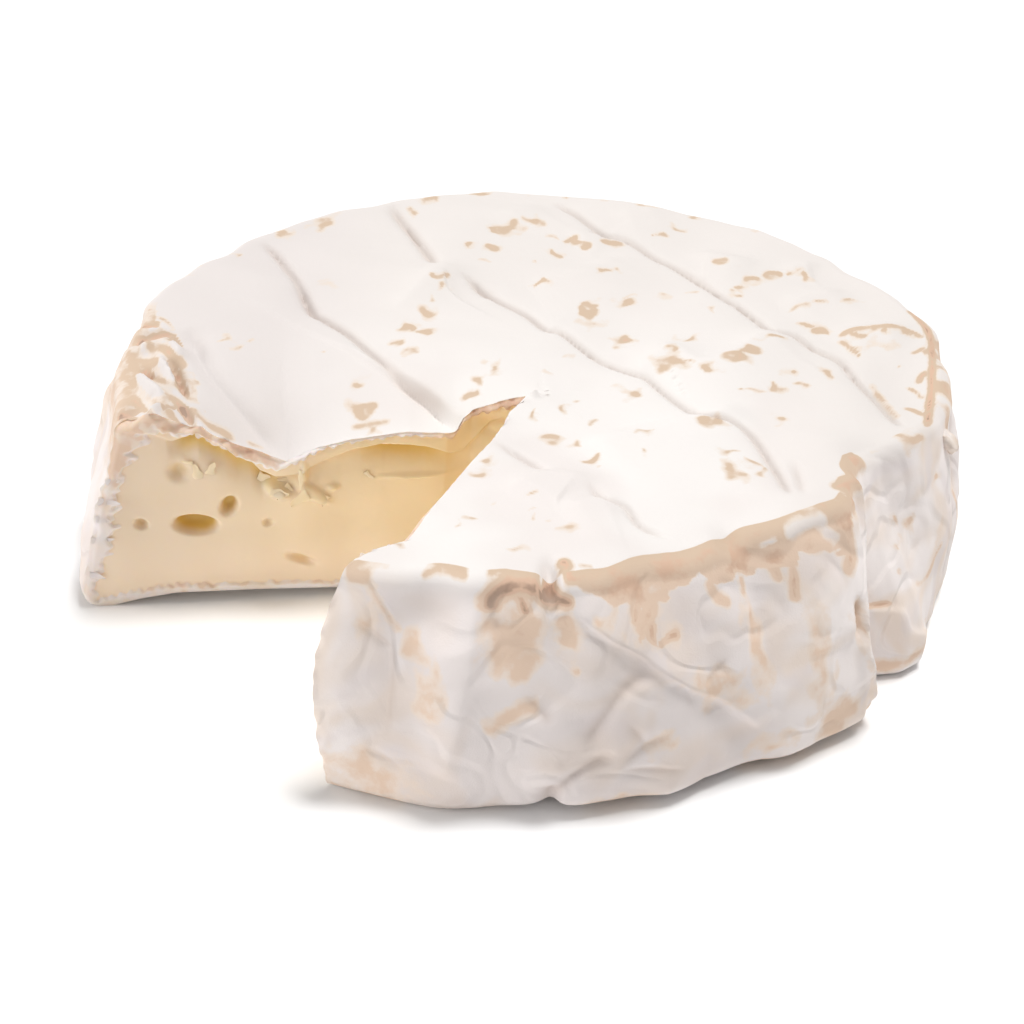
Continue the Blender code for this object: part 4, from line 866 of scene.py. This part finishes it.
def blend_face(top, side, base):
    """Points that fill a cut face smoothly between its top, side and base lines and the tip's axis."""
    out_share = np.linspace(0, 1, len(top))[None, :, None]
    down_share = np.linspace(0, 1, len(side))[:, None, None]
    axis = top[0] + (base[0] - top[0]) * down_share[:, 0]
    face = (1 - down_share) * top[None] + down_share * base[None]
    face = face + (1 - out_share) * axis[:, None] + out_share * side[:, None]
    corners = (1 - out_share) * ((1 - down_share) * top[0] + down_share * base[0])
    corners = corners + out_share * ((1 - down_share) * top[-1] + down_share * base[-1])
    return face - corners


def cut_face(outline, frayed, degrees, away, spots, top_rows):
    """The points of a cut face, and how much rind, how deep in a hollow for its painted shade and how bare
    of bloom each one is.
    """
    shift = frayed - outline
    face = blend_face(outline[:top_rows + 1], outline[top_rows:-top_rows], outline[:-top_rows - 2:-1])
    along, _ = beside_cut(face[..., 0], face[..., 1], degrees)
    height = face[..., 2]
    from_side = along[:, -1:] - along
    from_top = height[:1] - height
    from_base = height - height[-1:]
    rind = rind_share(along, height, from_side, from_top, from_base)
    face += shift[:top_rows + 1][None] * np.exp(-from_top / FRAY_REACH)[..., None]
    face += shift[top_rows:-top_rows][:, None] * np.exp(-from_side / FRAY_REACH)[..., None]
    relief, hollow = face_relief(along, height, spots, away > 0)
    step = RIND_STEP * smooth_step(0, 0.3, rind) * smooth_step(0, 0.8, from_side)
    step = step * smooth_step(0, 0.8, from_base)
    relief += step * smooth_step(0, 0.8, from_top) * smooth_step(0, 1.2, along)
    out = heading(degrees)
    face[..., 0] -= relief * out[1] * away
    face[..., 1] += relief * out[0] * away
    worn = ramp(SIDE_RIND_WORN, height) * smooth_step(0.1, 0.5, rind) * smooth_step(26, 34, along)
    worn += 0.6 * smooth_step(0.5, 0.15, rind) * smooth_step(8, 5, height) * smooth_step(52, 50, along)
    worn += TIP_EDGE_WORN * smooth_step(14, 9, along) * smooth_step(20, 24, height) * (away > 0)
    worn += 0.12 * ripple(along, height, 2.5, 35)
    return face, rind, hollow, worn


def rind_share(along, height, from_side, from_top, from_base):
    """Above nought in the ragged edge of rind round a cut face, below it in the paste."""
    teeth = 0.5 * ripple(height, along * 0.3, 2.6, 31) + 0.4 * ripple(height, along, 1.1, 32)
    crumbs = 0.5 * ripple(along, height * 0.3, 2.4, 33) + 0.4 * ripple(along, height, 0.9, 34)
    teeth, crumbs = np.clip(teeth, -1.5, 2), np.clip(crumbs, -1.5, 2)
    side = 1 - from_side / (ramp(SIDE_RIND, height) * (1 + 0.25 * teeth))
    base = 1 - from_base / (ramp(BASE_RIND, along) * (1 + 0.2 * crumbs))
    top = 1 - from_top / (ramp(TOP_RIND, along) * (1 + 0.25 * crumbs))
    return np.maximum(np.maximum(side, base), top)


def fray(ends, top_rows):
    """Roughen the lines where the cuts meet the top and the wall, by small seeded waves."""
    for points, degrees in zip(ends, (RIGHT_CUT_DEG, LEFT_CUT_DEG)):
        out = heading(degrees)
        along, _ = beside_cut(points[:, 0], points[:, 1], degrees)
        height = points[:, 2].copy()
        rough = waves(along, height, FRAY)
        rough *= smooth_step(1.0, 3.0, along) * np.where(height > HEIGHT / 2, ramp(TOP_FRAY, along), 1)
        rows = np.arange(len(points))
        rough *= smooth_step(len(points) - top_rows, len(points) - top_rows - 30, rows)
        on_top = smooth_step(top_rows + 20, top_rows, rows)
        points[:, 0] += rough * (out[0] * (1 - on_top) - out[1] * on_top)
        points[:, 1] += rough * (out[1] * (1 - on_top) + out[0] * on_top)
        points[:, 2] += 0.5 * on_top * rough
    return ends


def curl_points(root, along, across, off, length, width, lift, draw):
    """A small tongue of torn rind as rings of points, curling off the face towards its tip."""
    share = np.linspace(0, 1, CURL_RINGS)[:, None]
    turn = np.linspace(0, 2 * np.pi, CURL_SIDES, endpoint=False)[None, :]
    bend = draw.uniform(-0.35, 0.35)
    half = 0.5 * width * (1 - 0.8 * share ** 2.4) * (1 + 0.22 * np.sin(9 * share + draw.uniform(0, 6)))
    thick = CURL_THICK * (1.1 - 0.8 * share)
    run = length * (share - 0.12 * lift * share ** 3)
    rise = lift * length * 0.5 * share ** 1.8 + 0.1
    rise = rise + 0.12 * width * np.cos(turn) ** 2 * share
    drift = bend * length * share ** 2 + half * np.cos(turn)
    height = rise + thick * np.sin(turn)
    return root + run[..., None] * along + drift[..., None] * across + height[..., None] * off


def add_curls(skin, face, degrees, away, curls, rind):
    """Set curls on a cut face, each at the point of the face that lies nearest to its place."""
    draw = np.random.default_rng(71)
    out = np.array([*heading(degrees), 0.0])
    up = np.array([0.0, 0.0, 1.0])
    off = np.array([-out[1], out[0], 0.0]) * away
    along, _ = beside_cut(face[..., 0], face[..., 1], degrees)
    for place, height, length, width, turn, lift in curls:
        nearest = np.argmin((along - place) ** 2 + (face[..., 2] - height) ** 2)
        root = face.reshape(-1, 3)[nearest]
        way = np.cos(np.radians(turn)) * out + np.sin(np.radians(turn)) * up
        points = curl_points(root, way, np.cross(off, way), off, length, width, lift, draw)
        ids = skin.add_points(points, worn=CURL_WORN, rind=rind, hollow=FLAKE_HOLLOW)
        skin.add_grid(np.hstack([ids, ids[:, :1]]), material=1, flip=True)
        skin.add_face(ids[-1].tolist(), 1)


def add_crumb(skin, middle, radius):
    """A lumpy crumb stuck to the wall."""
    bends = np.radians(np.linspace(-90, 90, 9))[:, None]
    turns = np.radians(np.linspace(0, 360, 16, endpoint=False))[None, :]
    x, y, z = np.cos(bends) * np.cos(turns), np.cos(bends) * np.sin(turns), np.sin(bends) + 0 * turns
    lumps = 1 + 0.2 * ripple(x + z, y - z, 1.5, 61)
    points = np.array(middle) + radius * np.stack([x, y, z], axis=2) * lumps[..., None]
    ids = skin.add_points(points, worn=0.45, side=0.5)
    skin.add_grid(np.hstack([ids, ids[:, :1]]))


class Skin:
    """The points, the faces and the painted values of the mesh, gathered step by step."""

    def __init__(self):
        self.points = []
        self.faces = []
        self.materials = []
        self.paint = {name: [] for name in PLAIN_PAINT}

    def add_points(self, points, **paint):
        """Add an array of points with what is painted on them, and give their numbers."""
        start = len(self.points)
        shape = points.shape[:-1]
        self.points.extend(points.reshape(-1, 3).tolist())
        for name, store in self.paint.items():
            value = paint.get(name, PLAIN_PAINT[name])
            store.extend(np.broadcast_to(value, shape).reshape(-1).tolist())
        return np.arange(start, len(self.points)).reshape(shape)

    def add_face(self, ring, material=0):
        """Add a face, without corners that follow themselves, unless it has no area."""
        ring = [at for place, at in enumerate(ring) if at != ring[place - 1]]
        if len(ring) > 2:
            self.faces.append(ring)
            self.materials.append(material)

    def add_grid(self, grid, material=0, flip=False):
        """Fill an array of point numbers with four-sided faces."""
        rows = grid.tolist()
        for row, below in zip(rows, rows[1:]):
            for a, b, c, d in zip(row, row[1:], below[1:], below):
                self.add_face([d, c, b, a] if flip else [a, b, c, d], material)

    def stitch(self, coarse, fine, flip=False):
        """Join a row of points to one with more points over the same length."""
        step = (len(fine) - 1) // (len(coarse) - 1)
        coarse, fine = coarse.tolist(), fine.tolist()
        for place, (a, b) in enumerate(zip(coarse, coarse[1:])):
            ring = [a, b] + fine[place * step:(place + 1) * step + 1][::-1]
            self.add_face(ring[::-1] if flip else ring)


def paint_of(points, top_rows, corner_rows):
    """What is painted on an array of columns by rows of points."""
    x, y, z = points[..., 0], points[..., 1], points[..., 2]
    angle = angle_about_middle(x, y)
    rows = np.arange(points.shape[1])[None, :] * np.ones_like(x)
    on_top = (rows <= top_rows + 2) * 1.0
    upper = worn_top(x, y) * on_top
    wall = worn_wall(angle, z) * (rows > top_rows - 2)
    side = smooth_step(top_rows - 1, top_rows + 1.5 * corner_rows, rows)
    return {"worn": np.maximum(upper, wall), "crease": creases(x, y, z, angle, on_top), "side": side}


def part_of(paint, *index):
    """The same part of every painted array."""
    return {name: values[index] for name, values in paint.items()}


def add_outside(skin, columns, tips, shown_rows):
    """Add the top and the wall, down to the foot, and give their point numbers."""
    ids = np.zeros(columns.shape[:2], int)
    ids[:, 0] = tips[0]
    shown = slice(None), slice(1, shown_rows)
    paint = paint_of(columns, TOP_ROWS, CORNER_ROWS)
    ids[shown] = skin.add_points(columns[shown], **part_of(paint, *shown))
    skin.add_grid(ids[:, :shown_rows])
    return ids


def add_underside(skin, columns, tips, ids, shown_rows):
    """Add the underside, with fewer points than the foot that it is joined to."""
    last = len(ids) - 1
    kept_columns = sorted(set(range(0, last, UNDER_COLUMN_STEP)) | {last})
    kept_rows = list(range(shown_rows - 1, columns.shape[1] - 1, UNDER_ROW_STEP))
    under = np.zeros((len(kept_columns), len(kept_rows) + 1), int)
    under[:, -1] = tips[1]
    under[:, 1:-1] = skin.add_points(columns[np.ix_(kept_columns, kept_rows[1:])])
    under[:, 0] = ids[kept_columns, shown_rows - 1]
    skin.add_grid(under[:, 1:])
    for place, (column, following) in enumerate(zip(kept_columns, kept_columns[1:])):
        foot = ids[column:following + 1, shown_rows - 1]
        ring = [*foot.tolist(), int(under[place + 1, 1]), int(under[place, 1])]
        skin.add_face(ring[::-1])
    return under


def add_end_line(skin, points, paint, tips, upper, lower, flip):
    """Add the finer line of points round a cut, and join the coarser columns beside it to the line."""
    line = np.zeros(len(points), int)
    line[0], line[-1] = tips
    line[1:-1] = skin.add_points(points[1:-1], **part_of(paint, slice(1, -1)))
    corner = 2 * len(upper) - 2
    skin.stitch(upper, line[:corner + 1], flip)
    skin.stitch(lower, line[corner:], flip)
    return line


def add_cut(skin, cut, line, outline, frayed, axis_ids):
    """Fill a cut with its face and curls. Both cuts share the points on the tip's axis."""
    degrees, away, spots, curls = cut
    top_rows = TOP_ROWS * 2
    face, rind, hollow, worn = cut_face(outline, frayed, degrees, away, spots, top_rows)
    grid = np.zeros(face.shape[:2], int)
    grid[0] = line[:top_rows + 1]
    grid[-1] = line[:-top_rows - 2:-1]
    grid[:, -1] = line[top_rows:-top_rows]
    if axis_ids is None:
        axis_ids = skin.add_points(face[1:-1, 0], rind=-1.0)
    grid[1:-1, 0] = axis_ids
    middle = slice(1, -1), slice(1, -1)
    paint = part_of({"worn": worn, "rind": rind, "hollow": hollow}, *middle)
    grid[middle] = skin.add_points(face[middle], **paint)
    skin.add_grid(grid, material=1, flip=away < 0)
    for pieces, kind in curls:
        add_curls(skin, face, degrees, away, pieces, kind)
    return axis_ids


def build_skin():
    """The whole skin: the top and the wall, the underside, the two cuts and the crumb."""
    skin = Skin()
    turns = np.radians(np.linspace(RIGHT_CUT_DEG, LEFT_CUT_DEG, COLUMNS))
    columns = column_points(turns[1:-1], 1)
    smooth_ends = column_points(turns[[0, -1]], 2)
    ends = fray(smooth_ends.copy(), TOP_ROWS * 2)
    shown_rows = columns.shape[1] - TOP_ROWS
    tips = skin.add_points(np.array([columns[0, 0], columns[0, -1]]))
    ids = add_outside(skin, columns, tips, shown_rows)
    under = add_underside(skin, columns, tips, ids, shown_rows)
    paint = paint_of(ends, TOP_ROWS * 2, CORNER_ROWS * 2)
    cuts = [
        (RIGHT_CUT_DEG, -1, RIGHT_FACE_SPOTS, [(RIGHT_CURLS, 1.0)]),
        (LEFT_CUT_DEG, 1, LEFT_FACE_SPOTS, [(CURLS, 1.0), (PASTE_CURLS, -1.0)]),
    ]
    axis_ids = None
    for place, cut in enumerate(cuts):
        upper, lower = ids[-place, :shown_rows], under[-place]
        line = add_end_line(skin, ends[place], part_of(paint, place), tips, upper, lower, place == 0)
        axis_ids = add_cut(skin, cut, line, smooth_ends[place], ends[place], axis_ids)
    add_crumb(skin, CRUMB_AT, CRUMB_RADIUS)
    return skin


def fit_to_solid(points):
    """Centre the skin on the solid that it replaces, and keep it inside that solid's box."""
    low, high = (np.array(corner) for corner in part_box("camembert"))
    middle = (points.min(axis=0) + points.max(axis=0)) / 2
    middle[2] = 0
    shift = ((low + high) / 2) * [1, 1, 0] / MM - middle
    return np.clip((points + shift) * MM, low, high), shift


class Look:
    """A material. Its methods add nodes, fed by other nodes or by plain values, and give their outputs."""

    def __init__(self, name):
        self.material = bpy.data.materials.new(name)
        self.material.use_nodes = True
        self.tree = self.material.node_tree
        self.shader = self.tree.nodes["Principled BSDF"].inputs
        self.where = self.tree.nodes.new("ShaderNodeTexCoord").outputs["Object"]

    def feed(self, socket, value):
        if isinstance(value, bpy.types.NodeSocket):
            self.tree.links.new(value, socket)
        else:
            socket.default_value = value

    def node(self, kind, **inputs):
        node = self.tree.nodes.new(kind)
        for name, value in inputs.items():
            self.feed(node.inputs[name.replace("_", " ")], value)
        return node

    def noise(self, scale, detail, roughness=0.55, distortion=0.0):
        return self.node("ShaderNodeTexNoise", Vector=self.where, Scale=scale, Detail=detail,
                         Roughness=roughness, Distortion=distortion).outputs["Fac"]

    def painted(self, name):
        node = self.tree.nodes.new("ShaderNodeAttribute")
        node.attribute_name = name
        return node.outputs["Fac"]

    def calc(self, operation, *values):
        node = self.tree.nodes.new("ShaderNodeMath")
        node.operation = operation
        for socket, value in zip(node.inputs, values):
            self.feed(socket, value)
        return node.outputs[0]

    def scaled(self, value, factor, shift=0.0):
        return self.calc("MULTIPLY_ADD", value, factor, shift)

    def between(self, value, low, high, to_low=0.0, to_high=1.0):
        node = self.node("ShaderNodeMapRange", Value=value, From_Min=low, From_Max=high,
                         To_Min=to_low, To_Max=to_high)
        node.interpolation_type = "SMOOTHSTEP"
        return node.outputs["Result"]

    def mix(self, share, first, second):
        node = self.tree.nodes.new("ShaderNodeMix")
        node.data_type = "RGBA"
        self.feed(node.inputs[0], share)
        for socket, colour in ((node.inputs[6], first), (node.inputs[7], second)):
            self.feed(socket, (*colour, 1.0) if isinstance(colour, tuple) else colour)
        return node.outputs[2]

    def bump(self, height, strength, distance, **under):
        node = self.node("ShaderNodeBump", Height=height, Strength=strength, Distance=distance, **under)
        return node.outputs["Normal"]


def bloom_colour(look):
    """The white bloom with its beige worn patches, painted shade towards the back, the right and the left
    of the top and in a band of the wall, brownish painted shade in its creases, and how worn it is.
    """
    middle, fine = look.noise(*MIDDLE_NOISE), look.noise(*FINE_NOISE)
    side = look.painted("side")
    apart = look.node("ShaderNodeSeparateXYZ", Vector=look.where).outputs
    top = look.mix(look.between(look.noise(*BROAD_NOISE), 0.42, 0.62), BLOOM_WHITE, BLOOM_CREAM)
    # Painted shade: the top greys towards the back and the right, and further towards the left
    top = look.mix(look.between(apart["Y"], -0.025, 0.03), top, BLOOM_PAINTED_SHADE)
    top = look.mix(look.between(apart["X"], 0.02, 0.045), top, BLOOM_PAINTED_SHADE)
    top = look.mix(look.between(apart["X"], -0.012, -0.034), top, BLOOM_LEFT_PAINTED_SHADE)
    wall = look.mix(look.between(look.noise(*SOFT_NOISE), 0.42, 0.62), WALL_WHITE, WALL_BEIGE)
    wall = look.mix(look.between(look.noise(*GREY_NOISE), 0.5, 0.66, 0.0, 0.7), wall, WALL_GREY)
    # Painted shade on the wall in a band from a little left of the middle to a little right of it
    shaded = look.mix(look.between(apart["X"], -0.023, -0.011, 0.0, 0.38), wall, WALL_PAINTED_SHADE)
    wall = look.mix(look.between(apart["X"], 0.026, 0.034), shaded, wall)
    worn = look.calc("MULTIPLY", look.painted("worn"), look.scaled(middle, 0.9, 0.55))
    worn = look.calc("ADD", worn, look.scaled(middle, 0.45, -0.225))
    worn = look.calc("ADD", worn, look.scaled(fine, 0.25, -0.125))
    edge = look.mix(side, EDGE_BEIGE_TOP, EDGE_BEIGE_WALL)
    core = look.mix(side, WORN_TOP, WORN_WALL)
    colour = look.mix(look.between(worn, 0.26, 0.52, 0.0, 0.75), look.mix(side, top, wall), edge)
    colour = look.mix(look.between(worn, 0.48, 0.78), colour, core)
    colour = look.mix(look.between(worn, 1.0, 1.3), colour, WORN_BROWN)
    colour = look.mix(look.between(worn, 1.35, 1.7), colour, WORN_DARK)
    # Brownish painted shade in the grooves and creases
    colour = look.mix(look.scaled(look.painted("crease"), 0.4), colour, CREASE_PAINTED_SHADE)
    return colour, worn, middle, fine


def rind_material():
    look = Look("rind_bloom")
    colour, worn, _, fine = bloom_colour(look)
    look.feed(look.shader["Base Color"], colour)
    look.feed(look.shader["Roughness"], look.between(worn, 0.3, 1.0, 0.88, 0.7))
    look.shader["Specular IOR Level"].default_value = RIND_SHINE
    sunk = look.calc("SUBTRACT", look.scaled(fine, 0.5), look.scaled(worn, 0.35))
    folded = look.calc("ABSOLUTE", look.calc("SUBTRACT", look.noise(*CRUMPLE_NOISE), 0.5))
    crumple = look.calc("MULTIPLY", look.between(folded, 0.0, 0.07), look.painted("side"))
    low = look.bump(sunk, 0.4, 0.0002, Normal=look.bump(crumple, 0.3, 0.0007))
    look.feed(look.shader["Normal"], look.bump(look.noise(*FUZZ_NOISE), 0.3, 0.00006, Normal=low))
    return look.material


def paste_colour(look, middle):
    """The paste: beige on the left, warmer towards the tip with painted bounce light, paler low down and
    golden in its hollows with painted shade.
    """
    apart = look.node("ShaderNodeSeparateXYZ", Vector=look.where).outputs
    hollow = look.painted("hollow")
    # Painted warm bounce light: the paste turns warmer towards the tip
    paste = look.mix(look.between(apart["X"], -0.052, -0.006), PASTE_LEFT, PASTE_TIP_PAINTED_BOUNCE)
    paste = look.mix(look.between(apart["Z"], 0.003, 0.011, 0.7, 0.0), paste, PASTE_LOW)
    paste = look.mix(look.between(hollow, FLAKE_HOLLOW, 0.0, 1.0, 0.0), paste, PASTE_FLAKE)
    # Golden painted shade in the hollows
    deep = look.between(look.calc("ADD", hollow, look.scaled(middle, 0.3, -0.15)), 0.15, 0.8)
    return look.mix(deep, paste, PASTE_GOLDEN_SHADE)


def paste_material():
    look = Look("cut_face")
    bloom, _, middle, fine = bloom_colour(look)
    edge = look.calc("ADD", look.painted("rind"), look.scaled(fine, 0.2, -0.1))
    rind = look.between(edge, -0.03, 0.08)
    look.feed(look.shader["Base Color"], look.mix(rind, paste_colour(look, middle), bloom))
    look.feed(look.shader["Roughness"], look.between(rind, 0.0, 1.0, 0.42, 0.8))
    look.shader["Specular IOR Level"].default_value = PASTE_SHINE
    look.shader["Subsurface Weight"].default_value = PASTE_GLOW
    look.shader["Subsurface Radius"].default_value = PASTE_GLOW_COLOUR
    look.shader["Subsurface Scale"].default_value = PASTE_GLOW_DEPTH
    surface = look.calc("ADD", look.scaled(middle, 0.7), look.scaled(fine, 0.3))
    look.feed(look.shader["Normal"], look.bump(surface, 0.12, 0.0003))
    return look.material


def make_skin():
    skin = build_skin()
    points, shift = fit_to_solid(np.array(skin.points))
    mesh = bpy.data.meshes.new("camembert_skin")
    mesh.from_pydata(points.tolist(), [], skin.faces)
    mesh.materials.append(rind_material())
    mesh.materials.append(paste_material())
    mesh.polygons.foreach_set("material_index", skin.materials)
    for name, values in skin.paint.items():
        layer = mesh.attributes.new(name, "FLOAT", "POINT")
        layer.data.foreach_set("value", values)
    mesh.shade_smooth()
    mesh.set_sharp_from_angle(angle=np.radians(SHARP_DEG))
    cheese = bpy.data.objects.new("camembert_skin", mesh)
    bpy.context.scene.collection.objects.link(cheese)
    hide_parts("camembert")
    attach(cheese, "root")
    return shift


def make_floor():
    mesh = bpy.data.meshes.new("floor")
    corners = [(-1, -1), (1, -1), (1, 1), (-1, 1)]
    mesh.from_pydata([(x * FLOOR_HALF, y * FLOOR_HALF, 0) for x, y in corners], [], [(0, 1, 2, 3)])
    floor = bpy.data.objects.new("floor", mesh)
    look = Look("pale_floor")
    look.feed(look.shader["Base Color"], look.mix(look.noise(*FLOOR_NOISE), FLOOR_WHITE, FLOOR_PALE))
    look.shader["Roughness"].default_value = FLOOR_ROUGHNESS
    mesh.materials.append(look.material)
    bpy.context.scene.collection.objects.link(floor)


def make_world():
    world = bpy.data.worlds.new("studio")
    world.use_nodes = True
    background = world.node_tree.nodes["Background"]
    background.inputs["Color"].default_value = (1.0, 1.0, 1.0, 1.0)
    background.inputs["Strength"].default_value = WORLD_STRENGTH
    bpy.context.scene.world = world


def add_light(name, kind, energy, place, way):
    light = bpy.data.lights.new(name, kind)
    light.energy = energy
    holder = bpy.data.objects.new(name, light)
    holder.location = place
    holder.rotation_euler = mathutils.Vector(way).to_track_quat("-Z", "Y").to_euler()
    bpy.context.scene.collection.objects.link(holder)
    return light


def make_lights():
    key = add_light("key", "SUN", KEY_ENERGY, KEY_AT, KEY_WAY)
    key.angle = np.radians(KEY_SPREAD_DEG)
    fill = add_light("fill", "SPOT", FILL_POWER, FILL_AT, np.array(FILL_AIM) - FILL_AT)
    fill.spot_size = np.radians(FILL_CONE_DEG)
    fill.spot_blend = FILL_BLEND
    fill.shadow_soft_size = FILL_RADIUS
    side = add_light("side", "SUN", SIDE_ENERGY, SIDE_AT, SIDE_WAY)
    side.angle = np.radians(SIDE_SPREAD_DEG)


def make_camera(shift):
    camera = bpy.data.cameras.new("camera")
    camera.sensor_width = SENSOR_MM
    camera.lens = SENSOR_MM * FOCAL_PX / PICTURE_PX
    camera.clip_start = 0.01
    holder = bpy.data.objects.new("camera", camera)
    place = mathutils.Vector((np.array(CAMERA_AT) + shift) * MM)
    aim = mathutils.Vector((np.array(CAMERA_AIM) + shift) * MM)
    holder.location = place
    holder.rotation_euler = (aim - place).to_track_quat("-Z", "Y").to_euler()
    bpy.context.scene.collection.objects.link(holder)
    bpy.context.scene.camera = holder


shift = make_skin()
make_floor()
make_world()
make_lights()
make_camera(shift)
bpy.context.scene.view_settings.view_transform = "Standard"
